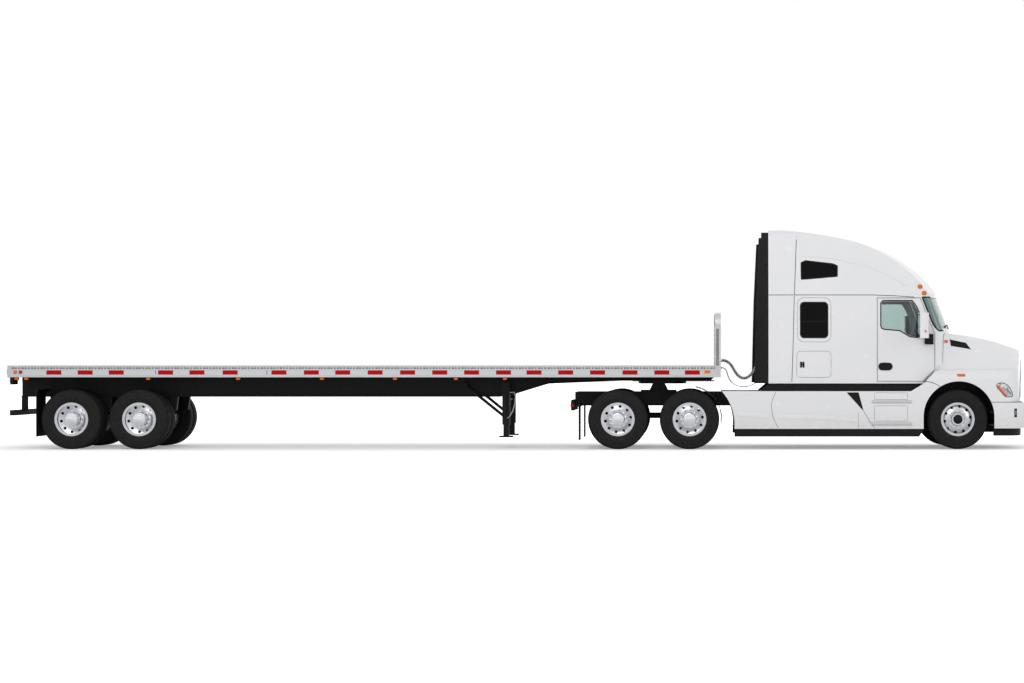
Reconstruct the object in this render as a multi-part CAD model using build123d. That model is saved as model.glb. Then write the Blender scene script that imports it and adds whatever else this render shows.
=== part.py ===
from build123d import *
import math
import os

# Articulated flatbed lorry: a tractor with a tall sleeper cab and a tandem flatbed trailer, in millimetres.
# +X is forward, +Y is the lorry's left, +Z is up, and the wheels stand on Z = 0.
# The origin is on the floor, under the middle of the whole lorry's length and width.

# Driving dimensions of the whole lorry
HALF_LENGTH = 9405.0
KINGPIN_X = 2525.0
STEER_AXLE_X = 8050.0
FRONT_DRIVE_X = 3110.0
DRIVE_SPACING = 1320.0
REAR_DRIVE_X = FRONT_DRIVE_X - DRIVE_SPACING
REAR_TRAILER_AXLE_X = -8260.0
TRAILER_SPACING = 1245.0
FRONT_TRAILER_AXLE_X = REAR_TRAILER_AXLE_X + TRAILER_SPACING

# Tyres, rims and axles
TYRE_DIAMETER = 1100.0
TYRE_WIDTH = 280.0
RIM_DIAMETER = 622.0
DUAL_SPACING = 330.0
DUAL_TRACK = 1850.0
STEER_TRACK = 2060.0
STEER_AXIS_Y = STEER_TRACK / 2 - 165.0
KNUCKLE_RADIUS = 40.0
HUB_DIAMETER = 230.0
AXLE_TUBE_DIAMETER = 130.0
AXLE_Z = TYRE_DIAMETER / 2
FIT_GAP = 0.3
FAR = 1400.0

# Tractor frame
FRAME_HALF_WIDTH = 430.0
FRAME_TOP_Z = 1050.0
FRAME_DEPTH = 260.0
FRAME_BOTTOM_Z = FRAME_TOP_Z - FRAME_DEPTH
FRAME_REAR_X = 965.0
FRAME_FRONT_X = 8950.0
RAIL_THICKNESS = 10.0
RAIL_FLANGE = 85.0

# Cab, roof and doors
CAB_REAR_X = 4565.0
CAB_FRONT_X = 7650.0
CAB_BOTTOM_Z = 1211.0
ROOF_SEAM_Z = 2837.0
ROOF_TOP_Z = 4055.0
CAB_HALF_WIDTH = 1130.0
CAB_WALL = 50.0
COWL_FRONT_X = 8000.0
COWL_UNDER_Z = 1520.0
COWL_Z = 2185.0
WINDSCREEN_LEAN = 255.0
ROOF_BOW = 150.0
ROOF_TURN = 0.3
ROOF_SLANT_LEAD = 280.0
SEAM_LAP = 10.0
ROOF_CORNER = 170.0
PANEL_GAP = 6.0
GLASS_THICKNESS = 8.0
DOOR_REAR_X = 6567.0
DOOR_TOP_Z = 2790.0
HATCH_FRONT_X = 5714.0
HATCH_BARREL_RADIUS = 9.0
EXTENDER_LENGTH = 260.0
MIRROR_REACH = 1620.0

# Hood, bumper and chassis fairings
HOOD_REAR_X = 7656.0
HOOD_FRONT_X = 9310.0
HOOD_REAR_Z = 2174.0
HOOD_FRONT_Z = 1790.0
HOOD_BOTTOM_Z = 872.0
HOOD_WALL = 25.0
HOOD_NOTCH_Z = 1380.0
HOOD_PIVOT_X = 9240.0
HOOD_PIVOT_Z = 888.0
HOOD_PIN_RADIUS = 12.0
FENDER_HALF_WIDTH = 1235.0
ARCH_RADIUS = 650.0
ARCH_CENTRE_X = STEER_AXLE_X + 12.0
ARCH_CENTRE_Z = 600.0
BUMPER_TOP_Z = 862.0
BUMPER_BOTTOM_Z = 385.0
AIR_DAM_BOTTOM_Z = 248.0
BUMPER_REAR_X = 8640.0
BRACKET_TOP_Z = 795.0
FAIRING_HALF_WIDTH = 1230.0
FAIRING_REAR_X = 3700.0
FAIRING_TOP_Z = 1068.0
FAIRING_BOTTOM_Z = 376.0
RUBBER_BOTTOM_Z = 233.0
FAIRING_WALL = 20.0
TANK_DIAMETER = 640.0

# Trailer
TRAILER_REAR_X = -HALF_LENGTH
NOSE_X = KINGPIN_X + 1160.0
HEADBOARD_THICKNESS = 106.0
TRAILER_HALF_WIDTH = 1295.0
DECK_TOP_Z = 1540.0
DECK_THICKNESS = 35.0
SIDE_RAIL_DEPTH = 215.0
SIDE_RAIL_WIDTH = 60.0
HEADBOARD_TOP_Z = 2516.0
BEAM_Y = 500.0
BEAM_FLANGE_WIDTH = 150.0
BEAM_PLATE = 14.0
BEAM_TOP_Z = DECK_TOP_Z - DECK_THICKNESS - 105.0
BEAM_BOTTOM_Z = 956.0
CROSSMEMBERS = 30
NECK_BOTTOM_Z = 1257.0
COUPLER_BOTTOM_Z = 1247.0
FIFTH_WHEEL_TOP_Z = COUPLER_BOTTOM_Z - FIT_GAP

# Twin wheels along the lorry: name, axle position
TWIN_WHEEL_ROWS = (
    ("front_drive", FRONT_DRIVE_X),
    ("rear_drive", REAR_DRIVE_X),
    ("front_trailer", FRONT_TRAILER_AXLE_X),
    ("rear_trailer", REAR_TRAILER_AXLE_X),
)


# Small helpers for outlines and plain solids

def outline(start, *steps):
    """A closed flat face: each step is a point for a line, or (through, end) for an arc."""
    edges = []
    at = start
    for step in steps:
        if isinstance(step[0], tuple):
            edges.append(ThreePointArc((*at, 0), (*step[0], 0), (*step[1], 0)))
            at = step[1]
        else:
            edges.append(Line((*at, 0), (*step, 0)))
            at = step
    if math.dist(at, start) > 1e-6:
        edges.append(Line((*at, 0), (*start, 0)))
    return Face(Wire(edges))


def across(face, y_from, y_to):
    """Push an outline drawn in X and Z across the lorry."""
    side = Plane(origin=(0, y_from, 0), x_dir=(1, 0, 0), z_dir=(0, -1, 0))
    return extrude(side * face, amount=y_to - y_from, dir=(0, 1, 0))


def along(face, x_from, x_to):
    """Push an outline drawn in Y and Z along the lorry."""
    front = Plane(origin=(x_from, 0, 0), x_dir=(0, 1, 0), z_dir=(1, 0, 0))
    return extrude(front * face, amount=x_to - x_from, dir=(1, 0, 0))


def upward(face, z_from, z_to):
    """Push an outline drawn in X and Y upwards."""
    return extrude(Plane(origin=(0, 0, z_from)) * face, amount=z_to - z_from, dir=(0, 0, 1))


def block(x_from, x_to, y_from, y_to, z_from, z_to):
    size = Box(x_to - x_from, y_to - y_from, z_to - z_from)
    return Pos((x_from + x_to) / 2, (y_from + y_to) / 2, (z_from + z_to) / 2) * size


def rod(x, y_from, y_to, z, radius):
    """A round bar across the lorry."""
    bar = Rot(90, 0, 0) * Cylinder(radius, y_to - y_from)
    return Pos(x, (y_from + y_to) / 2, z) * bar


def rod_along(x_from, x_to, y, z, radius):
    bar = Rot(0, 90, 0) * Cylinder(radius, x_to - x_from)
    return Pos((x_from + x_to) / 2, y, z) * bar


def strut(start, end, radius):
    """A straight round bar from one point to another."""
    reach = Vector(*end) - Vector(*start)
    plane = Plane(origin=start, z_dir=reach)
    return extrude(plane * Circle(radius), amount=reach.length)


def joined(shapes):
    """One shape from a list of shapes."""
    return shapes[0] if len(shapes) == 1 else shapes[0] + shapes[1:]


def flipped(shape):
    """The same shape on the lorry's other side."""
    return mirror(shape, about=Plane.XZ)


def both(shape):
    return shape + flipped(shape)


def shrunk(face, wall):
    """The outline drawn in by a wall."""
    return offset(face, amount=-wall, kind=Kind.INTERSECTION)


def write(name, shape):
    solids = [solid for solid in shape.solids() if solid.volume > 1.0]
    made = solids[0] if len(solids) == 1 else Compound(children=solids)
    export_step(made, f"parts/{name}.step")


# Wheels

def tyre(y_middle, x):
    """A plain road tyre turned about its axle."""
    outer = TYRE_DIAMETER / 2
    inner = RIM_DIAMETER / 2 + FIT_GAP
    half = TYRE_WIDTH / 2
    flank = [(inner, half - 30), (outer - 60, half), (outer, half - 34)]
    points = flank + [(radius, -width) for radius, width in reversed(flank)]
    return turned(points, x, y_middle)


def turned(points, x, y_middle):
    """A solid of radius and width points, turned about a wheel's axle; widths grow towards +Y."""
    face = Polygon(*points, align=None)
    ring = revolve(Plane.XZ * face, axis=Axis.Z)
    return Pos(x, y_middle, AXLE_Z) * (Rot(-90, 0, 0) * ring)


def rim_band(x, y_middle):
    """The band that a tyre sits on, with a lip at each edge."""
    half = TYRE_WIDTH / 2 - 36
    bed = RIM_DIAMETER / 2
    points = [(bed - 46, -half), (bed - 2, -half), (bed, -half + 4), (bed, half - 4),
              (bed - 2, half), (bed - 46, half), (bed - 18, half - 40), (bed - 18, -half + 40)]
    return turned(points, x, y_middle)


def holes(x, y_from, y_to, count, circle, radius, start=0.0):
    """Holes through a wheel's disc on a circle about its axle."""
    angles = [math.radians(start + 360 * index / count) for index in range(count)]
    return joined([rod(x + circle * math.cos(angle), y_from, y_to, AXLE_Z + circle * math.sin(angle), radius)
                   for angle in angles])


def disc(x, y_face, thickness, dish, hand_holes):
    """A wheel's disc with a raised middle; its outer face is at y_face and it faces +Y."""
    edge = RIM_DIAMETER / 2 - 16
    flat = 175.0
    points = [(0, y_face + dish - thickness), (flat - 12, y_face + dish - thickness), (edge, y_face - thickness),
              (edge, y_face), (flat, y_face + dish), (0, y_face + dish)]
    plate = turned(points, x, 0)
    return plate - holes(x, y_face - 200, y_face + 200, hand_holes, 238.0, 27.0, 9.0)


def hub(x, y_from, y_to, radius):
    return rod(x, y_from, y_to, AXLE_Z, radius)


def studs(x, y_from, y_to):
    return holes(x, y_from, y_to, 10, 142.0, 15.0, 9.0)


def steer_wheel():
    """Left steered wheel: the disc stands near the tyre's outer face."""
    y = STEER_TRACK / 2
    face = y + 40
    rim = rim_band(STEER_AXLE_X, y) + disc(STEER_AXLE_X, face, 22.0, 42.0, 10)
    rim += hub(STEER_AXLE_X, y - 60, face + 92, HUB_DIAMETER / 2)
    rim += studs(STEER_AXLE_X, face + 30, face + 68)
    return tyre(y, STEER_AXLE_X), rim


def dual_wheel(x):
    """Left twin wheels: two tyres on one hub, the outer disc deeply dished."""
    inner_y = DUAL_TRACK / 2 - DUAL_SPACING / 2
    outer_y = inner_y + DUAL_SPACING
    face = outer_y - 70
    tyres = tyre(inner_y, x) + tyre(outer_y, x)
    rim = rim_band(x, inner_y) + rim_band(x, outer_y)
    rim += disc(x, face, 22.0, -38.0, 10)
    rim += disc(x, inner_y + 92, 22.0, 40.0, 10)
    rim += hub(x, inner_y - 110, outer_y + 112, HUB_DIAMETER / 2)
    rim += studs(x, face - 50, face - 4)
    return tyres, rim


# Axles and running gear

def knuckle():
    """Left steering knuckle: a post in the axle's eye, the stub that the wheel turns on, and an arm."""
    y = STEER_AXIS_Y
    post = Pos(STEER_AXLE_X, y, AXLE_Z - 25) * Cylinder(KNUCKLE_RADIUS, 230)
    stub = rod(STEER_AXLE_X, y, STEER_TRACK / 2 - 60 - FIT_GAP, AXLE_Z, 72.0)
    arm = block(STEER_AXLE_X - 210, STEER_AXLE_X, y - 12, y + 12, AXLE_Z - 30, AXLE_Z + 10)
    return post + stub + arm


def front_axle():
    """The dropped beam of the steer axle, an eye at each end for a knuckle's post, and its leaf springs."""
    drop = AXLE_Z - 130
    beam = block(STEER_AXLE_X - 50, STEER_AXLE_X + 50, -560, 560, drop, drop + 110)
    end = block(STEER_AXLE_X - 45, STEER_AXLE_X + 45, 550, STEER_AXIS_Y, drop, drop + 48)
    end += Pos(STEER_AXLE_X, STEER_AXIS_Y, drop + 24) * Cylinder(KNUCKLE_RADIUS + 22, 48)
    end -= Pos(STEER_AXLE_X, STEER_AXIS_Y, drop + 24) * Cylinder(KNUCKLE_RADIUS + FIT_GAP, 60)
    spring_y = FRAME_HALF_WIDTH - RAIL_FLANGE / 2
    leaf = across(outline((STEER_AXLE_X - 720, FRAME_BOTTOM_Z - 60),
                          ((STEER_AXLE_X, drop + 105), (STEER_AXLE_X + 720, FRAME_BOTTOM_Z - 60)),
                          (STEER_AXLE_X + 720, FRAME_BOTTOM_Z - 25),
                          ((STEER_AXLE_X, drop + 170), (STEER_AXLE_X - 720, FRAME_BOTTOM_Z - 25))),
                  spring_y - 35, spring_y + 35)
    eyes = [block(x - 35, x + 35, spring_y - 38, spring_y + 38, FRAME_BOTTOM_Z - 80, FRAME_BOTTOM_Z - FIT_GAP)
            for x in (STEER_AXLE_X - 690, STEER_AXLE_X + 690)]
    return beam + both(end) + both(leaf + eyes)


def axle_tube(x, inner_end):
    return rod(x, -inner_end, inner_end, AXLE_Z, AXLE_TUBE_DIAMETER / 2)


def dual_axle_end():
    """How far out an axle tube reaches: up to the inner end of the wheel hubs."""
    return DUAL_TRACK / 2 - DUAL_SPACING / 2 - 110 - FIT_GAP


def drive_axles():
    """The tandem's housings, joined by the shafts between them, with air springs up to the frame."""
    pieces = [rod_along(REAR_DRIVE_X, FRONT_DRIVE_X + 420, 0, AXLE_Z + 50, 55.0)]
    spring_height = FRAME_BOTTOM_Z - FIT_GAP - AXLE_Z + 35
    for x in (REAR_DRIVE_X, FRONT_DRIVE_X):
        pieces.append(axle_tube(x, dual_axle_end()))
        pieces.append(rod(x, -150, 150, AXLE_Z, 225.0))
        for side in (-1, 1):
            y = side * 385
            pieces.append(block(x - 380, x + 110, y - 40, y + 40, AXLE_Z - 90, AXLE_Z - 35))
            pieces.append(Pos(x - 290, y, AXLE_Z - 35 + spring_height / 2) * Cylinder(120, spring_height))
            pieces.append(block(x + 75, x + 110, y - 40, y + 40, AXLE_Z - 40, FRAME_BOTTOM_Z - FIT_GAP))
    return joined(pieces)


def trailer_axles():
    """Two dead axles hung from the trailer's beams by hangers, leaf springs and struts."""
    made = None
    low = BEAM_BOTTOM_Z
    for x in (REAR_TRAILER_AXLE_X, FRONT_TRAILER_AXLE_X):
        piece = axle_tube(x, dual_axle_end())
        for side in (-1, 1):
            y = side * BEAM_Y
            piece += across(outline((x - 520, AXLE_Z + 190), ((x, AXLE_Z + 110), (x + 520, AXLE_Z + 190)),
                                    (x + 520, AXLE_Z + 225), ((x, AXLE_Z + 160), (x - 520, AXLE_Z + 225))),
                            y - 38, y + 38)
            piece += block(x - 70, x + 70, y - 45, y + 45, AXLE_Z, AXLE_Z + 140)
            for hanger_x in (x - 490, x + 490):
                piece += across(outline((hanger_x - 45, AXLE_Z + 150), (hanger_x + 45, AXLE_Z + 150),
                                        (hanger_x + 80, low), (hanger_x - 80, low)), y - 50, y + 50)
            piece += strut((x, y, AXLE_Z - 20), (x + 500, y, AXLE_Z + 170), 22.0)
        made = piece if made is None else made + piece
    return made


# Tractor frame and what it carries

def tractor_frame():
    """Two channel rails joined by crossmembers, with the deck plate behind the cab."""
    web = block(FRAME_REAR_X, FRAME_FRONT_X, FRAME_HALF_WIDTH - RAIL_THICKNESS, FRAME_HALF_WIDTH,
                FRAME_BOTTOM_Z, FRAME_TOP_Z)
    rail = web
    for z in (FRAME_BOTTOM_Z, FRAME_TOP_Z - RAIL_THICKNESS):
        rail += block(FRAME_REAR_X, FRAME_FRONT_X, FRAME_HALF_WIDTH - RAIL_FLANGE, FRAME_HALF_WIDTH,
                      z, z + RAIL_THICKNESS)
    made = both(rail)
    inner = FRAME_HALF_WIDTH - RAIL_THICKNESS
    for x in (FRAME_REAR_X, REAR_DRIVE_X, (REAR_DRIVE_X + FRONT_DRIVE_X) / 2, FRONT_DRIVE_X, 3900.0, 4800.0,
              5700.0, FRAME_FRONT_X - 60):
        made += block(x, x + 60, -inner, inner, FRAME_BOTTOM_Z + 20, FRAME_TOP_Z - 20)
    made += block(FAIRING_REAR_X + 10, CAB_REAR_X + 60, -620, 620, FRAME_TOP_Z, FRAME_TOP_Z + 12)
    mounts = None
    for x in (CAB_REAR_X + 120, CAB_FRONT_X - 420):
        mount = block(x, x + 120, inner - 60, inner + 10, FRAME_TOP_Z, CAB_BOTTOM_Z - FIT_GAP)
        mounts = mount if mounts is None else mounts + mount
    return made + both(mounts)


def engine():
    """The engine and gearbox as one plain block on the frame."""
    made = block(CAB_FRONT_X + 40, 8840, -330, 330, 720, 1500)
    made += block(6500, CAB_FRONT_X + 40, -240, 240, 740, 1120)
    made += block(8000, 8120, -inner_rail(), inner_rail(), 820, 900)
    made += block(6700, 6780, -inner_rail(), inner_rail(), 820, 900)
    return made


def inner_rail():
    return FRAME_HALF_WIDTH - RAIL_THICKNESS


def radiator():
    return block(8875, 8945, -400, 400, 1060, 1660) + block(8895, 8935, -60, 60, FRAME_TOP_Z - 20 + FIT_GAP, 1060)


def fifth_wheel():
    """The coupling plate on its pedestal, with a slot open to the rear for the kingpin."""
    top = FIFTH_WHEEL_TOP_Z
    face = outline((KINGPIN_X - 380, -180), (KINGPIN_X - 330, -430), (KINGPIN_X + 330, -480),
                   ((KINGPIN_X + 520, 0), (KINGPIN_X + 330, 480)), (KINGPIN_X - 330, 430),
                   (KINGPIN_X - 380, 180), (KINGPIN_X - 60, 40), (KINGPIN_X - 60, -40))
    plate = upward(face, top - 45, top)
    plate -= Pos(KINGPIN_X, 0, top) * Cylinder(30 + FIT_GAP, 200)
    plate -= block(KINGPIN_X - 100, KINGPIN_X, -30 - FIT_GAP, 30 + FIT_GAP, top - 60, top + 10)
    base = block(KINGPIN_X - 330, KINGPIN_X + 330, -470, 470, FRAME_TOP_Z + FIT_GAP, FRAME_TOP_Z + 30)
    posts = both(across(outline((KINGPIN_X - 170, FRAME_TOP_Z + 30), (KINGPIN_X + 170, FRAME_TOP_Z + 30),
                                (KINGPIN_X + 110, top - 45), (KINGPIN_X - 110, top - 45)), 330, 400))
    return plate + base + posts


def mudguards():
    """Quarter fenders ahead of the drive tyres and mudflaps behind them, on brackets from the frame."""
    inner = DUAL_TRACK / 2 - 300
    outer = DUAL_TRACK / 2 + 315
    reach = TYRE_DIAMETER / 2 + 45
    cx = FRONT_DRIVE_X
    start = (cx + reach * math.cos(math.radians(80)), AXLE_Z + reach * math.sin(math.radians(80)))
    middle = (cx + reach * math.cos(math.radians(35)), AXLE_Z + reach * math.sin(math.radians(35)))
    end = (cx + reach * math.cos(math.radians(-8)), AXLE_Z + reach * math.sin(math.radians(-8)))
    far = reach + 8
    start_far = (cx + far * math.cos(math.radians(80)), AXLE_Z + far * math.sin(math.radians(80)))
    middle_far = (cx + far * math.cos(math.radians(35)), AXLE_Z + far * math.sin(math.radians(35)))
    end_far = (cx + far * math.cos(math.radians(-8)), AXLE_Z + far * math.sin(math.radians(-8)))
    guard = across(outline(start, (middle, end), end_far, (middle_far, start_far)), inner, outer)
    bracket = block(cx + 430, cx + 470, FRAME_HALF_WIDTH + FIT_GAP, inner + 200, FRAME_TOP_Z - 90, FRAME_TOP_Z - 50)
    flap_x = REAR_DRIVE_X - TYRE_DIAMETER / 2 - 170
    flap = block(flap_x, flap_x + 12, inner, outer, 165, 780)
    hanger = block(flap_x - 15, flap_x + 27, FRAME_HALF_WIDTH + FIT_GAP, outer, 780, 830)
    return both(guard + bracket) + both(flap + hanger)


def fuel_tank(side):
    """A fuel tank beside the frame, on two brackets."""
    y = side * (FAIRING_HALF_WIDTH - FAIRING_WALL - 60 - TANK_DIAMETER / 2)
    made = rod_along(4350, 6000, y, 720, TANK_DIAMETER / 2)
    for x in (4650, 5650):
        made += block(x, x + 60, min(side * (FRAME_HALF_WIDTH + FIT_GAP), y), max(side * (FRAME_HALF_WIDTH + FIT_GAP), y),
                      FRAME_BOTTOM_Z + 40, FRAME_BOTTOM_Z + 120)
    return made


# Cab

def cab_side(wall=0.0):
    """Side outline of the cab below the roof seam, up to the cowl ahead of the windscreen."""
    x = CAB_FRONT_X - wall
    rear = CAB_REAR_X + wall
    floor = CAB_BOTTOM_Z + wall
    lap = SEAM_LAP if wall else 0.0
    return outline((rear, floor), (CAB_FRONT_X - 256 - wall * 0.4, floor), (x, 1459 + wall * 0.4),
                   (x, COWL_UNDER_Z + wall), (COWL_FRONT_X + 20, COWL_UNDER_Z + 110 + wall),
                   (COWL_FRONT_X + 20, ROOF_SEAM_Z + lap), (rear, ROOF_SEAM_Z + lap))


def cab_plan(wall=0.0):
    """Plan outline of the cab at the cowl: flat sides, rounded corners and a bowed front."""
    w = CAB_HALF_WIDTH - wall
    corner_x = COWL_FRONT_X - 200 - wall
    corner_y = CAB_HALF_WIDTH - 150 - wall * 0.6
    side_x = CAB_FRONT_X - 10 - wall * 0.4
    bend = (side_x + 0.66 * (corner_x - side_x), w - 0.27 * (w - corner_y))
    rear = CAB_REAR_X - 1000
    return outline((rear, -w), (side_x, -w), ((bend[0], -bend[1]), (corner_x, -corner_y)),
                   ((COWL_FRONT_X - wall, 0), (corner_x, corner_y)), ((bend[0], bend[1]), (side_x, w)), (rear, w))


def cab_solid(wall=0.0):
    """The cab: upright up to the cowl, and above it leaning back with the windscreen."""
    lean = Vector(-WINDSCREEN_LEAN, 0, ROOF_SEAM_Z + SEAM_LAP - COWL_Z)
    plan = cab_plan(wall)
    low = upward(plan, CAB_BOTTOM_Z - 10, COWL_Z)
    high = extrude(Plane(origin=(0, 0, COWL_Z)) * plan, amount=lean.length, dir=lean)
    made = (low + high) & across(cab_side(wall), -FAR, FAR)
    return made & along(body_front(wall), CAB_REAR_X + wall, COWL_FRONT_X + 50)


def body_front(wall=0.0):
    """Front outline of cab and roof: upright sides that lean in above the belt, and rounded top corners."""
    w = CAB_HALF_WIDTH
    r = ROOF_CORNER
    face = outline((-w, CAB_BOTTOM_Z - 200), (w, CAB_BOTTOM_Z - 200), (w, 2000), (w - 25, ROOF_SEAM_Z),
                   (w - 130, ROOF_TOP_Z - r),
                   ((w - 130 - r * 0.36, ROOF_TOP_Z - r * 0.3), (w - 140 - r, ROOF_TOP_Z)),
                   (-w + 140 + r, ROOF_TOP_Z),
                   ((-w + 130 + r * 0.36, ROOF_TOP_Z - r * 0.3), (-w + 130, ROOF_TOP_Z - r)),
                   (-w + 25, ROOF_SEAM_Z), (-w, 2000))
    return shrunk(face, wall) if wall else face


def roof_side(wall=0.0):
    """Side outline of the roof: nearly level at the back, bending down to the windscreen."""
    low = ROOF_SEAM_Z - (SEAM_LAP if wall else 0.0)
    rear = CAB_REAR_X - 1000
    return outline((rear, low), (rear, ROOF_TOP_Z + 10 - wall), (CAB_REAR_X, ROOF_TOP_Z - wall),
                   ((5300 - wall * 0.1, 3994 - wall), (6004 - wall * 0.2, 3870 - wall)),
                   ((6620 - wall * 0.4, 3655 - wall), (7058 - wall * 0.6, 3380 - wall * 0.9)),
                   ((7360 - wall * 0.8, 3120 - wall * 0.6), (7585 - wall, low)))


def slanted(face, slope):
    """A side outline pushed across the lorry while it moves forward by a slope."""
    run = Vector(slope, 1, 0) * 2 * FAR
    start_x = ROOF_SLANT_LEAD - slope * FAR
    flat = Plane(origin=(start_x, -FAR, 0), x_dir=(1, 0, 0), z_dir=(0, -1, 0))
    return extrude(flat * face, amount=run.length, dir=run)


def roof_solid(wall=0.0):
    """The roof: its front is a middle face and two faces turned back towards the sides."""
    side = roof_side(wall)
    middle = Pos(ROOF_BOW, 0, 0) * across(side, -FAR, FAR)
    made = middle & slanted(side, ROOF_TURN) & slanted(side, -ROOF_TURN)
    made = made & along(body_front(wall), CAB_REAR_X + wall, COWL_FRONT_X)
    high = Pos(-WINDSCREEN_LEAN, 0, 0) * upward(cab_plan(wall), ROOF_SEAM_Z - 50, ROOF_TOP_Z + 20)
    return made & high


def door_outline(grow=0.0):
    """Side outline of a door; its lower front corner is cut off above the wheel."""
    g = grow
    return outline((DOOR_REAR_X - g, 1246 - g), (CAB_FRONT_X - 245 + g, 1246 - g), (CAB_FRONT_X - 22 + g, 1462 - g),
                   (CAB_FRONT_X - 22 + g, 2130), (CAB_FRONT_X - 290 + g, DOOR_TOP_Z + g), (DOOR_REAR_X - g, DOOR_TOP_Z + g))


def door_window():
    x = DOOR_REAR_X
    return outline((x + 83, 2690), (x + 83, 2270), ((x + 97, 2236), (x + 130, 2224)), (x + 420, 2200), (x + 610, 2085),
                   (x + 800, 2064), (x + 802, 2190), ((x + 765, 2500), (x + 640, 2723)), (x + 116, 2723))


def rounded_window(x_from, x_to, z_from, z_to, radius):
    frame = RectangleRounded(x_to - x_from, z_to - z_from, radius)
    return Pos((x_from + x_to) / 2, (z_from + z_to) / 2) * frame


def lower_pane():
    return rounded_window(5165, 5645, 2064, 2694, 60)


def upper_pane():
    return outline((5180, 3139), (5825, 3195), (5825, 3375), (5745, 3405), (5250, 3462), (5180, 3430))


def hatch_outline(grow=0.0):
    return rounded_window(HATCH_FRONT_X - 626 - grow, HATCH_FRONT_X + grow, 1325 - grow, 1802 + grow, 70 + grow)


def windscreen_outline():
    """Front outline of the windscreen, drawn in Y and Z."""
    w = CAB_HALF_WIDTH - 120
    return outline((-w, COWL_Z + 40), (w, COWL_Z + 40), (w - 60, ROOF_SEAM_Z - 40), (-w + 60, ROOF_SEAM_Z - 40))


def both_sides(face, inner_y):
    """An outline's prism on each side of the lorry, from a distance outwards."""
    return across(face, -FAR, -inner_y) + across(face, inner_y, FAR)


def cab_shell():
    """The hollow cab below the roof seam, open at the doors, windows, luggage hatches and at its top."""
    made = cab_solid() - cab_solid(CAB_WALL)
    made -= both_sides(door_outline(PANEL_GAP), 900.0)
    made -= both_sides(lower_pane(), 900.0)
    made -= both_sides(hatch_outline(PANEL_GAP), 900.0)
    return made - along(windscreen_outline(), CAB_FRONT_X - 200, COWL_FRONT_X + 50)


def roof_fairing():
    """The hollow roof above the seam, joined to the open top of the cab, with a pane opening each side."""
    made = roof_solid() - roof_solid(CAB_WALL)
    return Pos(0, 0, FIT_GAP) * (made - both_sides(upper_pane(), 800.0))


def skin(thickness, depth):
    """A thin layer of the cab's sides, lying between two depths under its surface."""
    ring = body_front(depth) - body_front(depth + thickness)
    return along(ring.faces()[0], CAB_REAR_X - EXTENDER_LENGTH - 50, CAB_FRONT_X + 210)


def side_pane(face, side):
    """A sheet of glass in an opening of the cab's side."""
    reach = (-FAR, -700.0) if side < 0 else (700.0, FAR)
    return across(shrunk(face, FIT_GAP), *reach) & skin(GLASS_THICKNESS, 12.0)


def cab_glass():
    """The windscreen and the sleeper's four side panes."""
    panes = [side_pane(face, side) for side in (-1, 1) for face in (lower_pane(), upper_pane())]
    reach = along(shrunk(windscreen_outline(), FIT_GAP), CAB_FRONT_X - 200, COWL_FRONT_X)
    screen = (cab_solid(14.0) - cab_solid(14.0 + GLASS_THICKNESS)) & reach
    return Pos(0, 0, FIT_GAP) * joined(panes) + max(screen.solids(), key=lambda solid: solid.volume)


def door(side):
    """A door as thick as the cab's wall, with its window cut out."""
    reach = (-FAR, -900.0) if side < 0 else (900.0, FAR)
    panel = across(door_outline(), *reach) & skin(CAB_WALL, 0.0)
    panel = panel & across(cab_side(), *reach)
    panel = panel - across(door_window(), *reach)
    handle = across(rounded_window(DOOR_REAR_X + 25, DOOR_REAR_X + 278, 1452, 1592, 60), -CAB_HALF_WIDTH - 8,
                    -CAB_HALF_WIDTH + 10)
    return panel + (handle if side < 0 else flipped(handle))


def door_glass(side):
    reach = (-FAR, -700.0) if side < 0 else (700.0, FAR)
    return across(shrunk(door_window(), FIT_GAP), *reach) & skin(GLASS_THICKNESS, 18.0)


def mirror_unit(side):
    """A mirror's housing on a bracket from the door's front corner."""
    x_from = CAB_FRONT_X - 342
    x_to = CAB_FRONT_X - 175
    plan = outline((x_from, -MIRROR_REACH), ((x_from + 110, -MIRROR_REACH + 20), (x_to, -MIRROR_REACH + 120)),
                   ((x_to + 8, -1380), (x_to - 30, -1300)), (x_from, -1300))
    housing = upward(plan, 2040, 2505)
    arm = block(x_to - 40, x_to + 20, -1400, -CAB_HALF_WIDTH - 20, 2050, 2110)
    foot = block(CAB_FRONT_X - 210, CAB_FRONT_X - 50, -CAB_HALF_WIDTH - 35, -CAB_HALF_WIDTH - FIT_GAP, 1930, 2120)
    made = housing + arm + foot
    return made if side < 0 else flipped(made)


def hatch(side):
    """A luggage door of the sleeper, as thick as the wall, with two hinge barrels along its front edge."""
    panel = across(hatch_outline(), -FAR, -900.0) & skin(CAB_WALL, 0.0)
    outside = -CAB_HALF_WIDTH - FIT_GAP
    for z in (1440.0, 1690.0):
        leaf = block(HATCH_FRONT_X - 40, HATCH_FRONT_X - 1, outside - 4, -CAB_HALF_WIDTH + 1, z - 30, z + 30)
        leaf += block(HATCH_FRONT_X - 10, HATCH_FRONT_X + PANEL_GAP, outside - 4, outside, z - 30, z + 30)
        leaf += Pos(HATCH_FRONT_X + PANEL_GAP, outside - HATCH_BARREL_RADIUS, z) * Cylinder(HATCH_BARREL_RADIUS, 60)
        panel += leaf
    return panel if side < 0 else flipped(panel)


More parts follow.
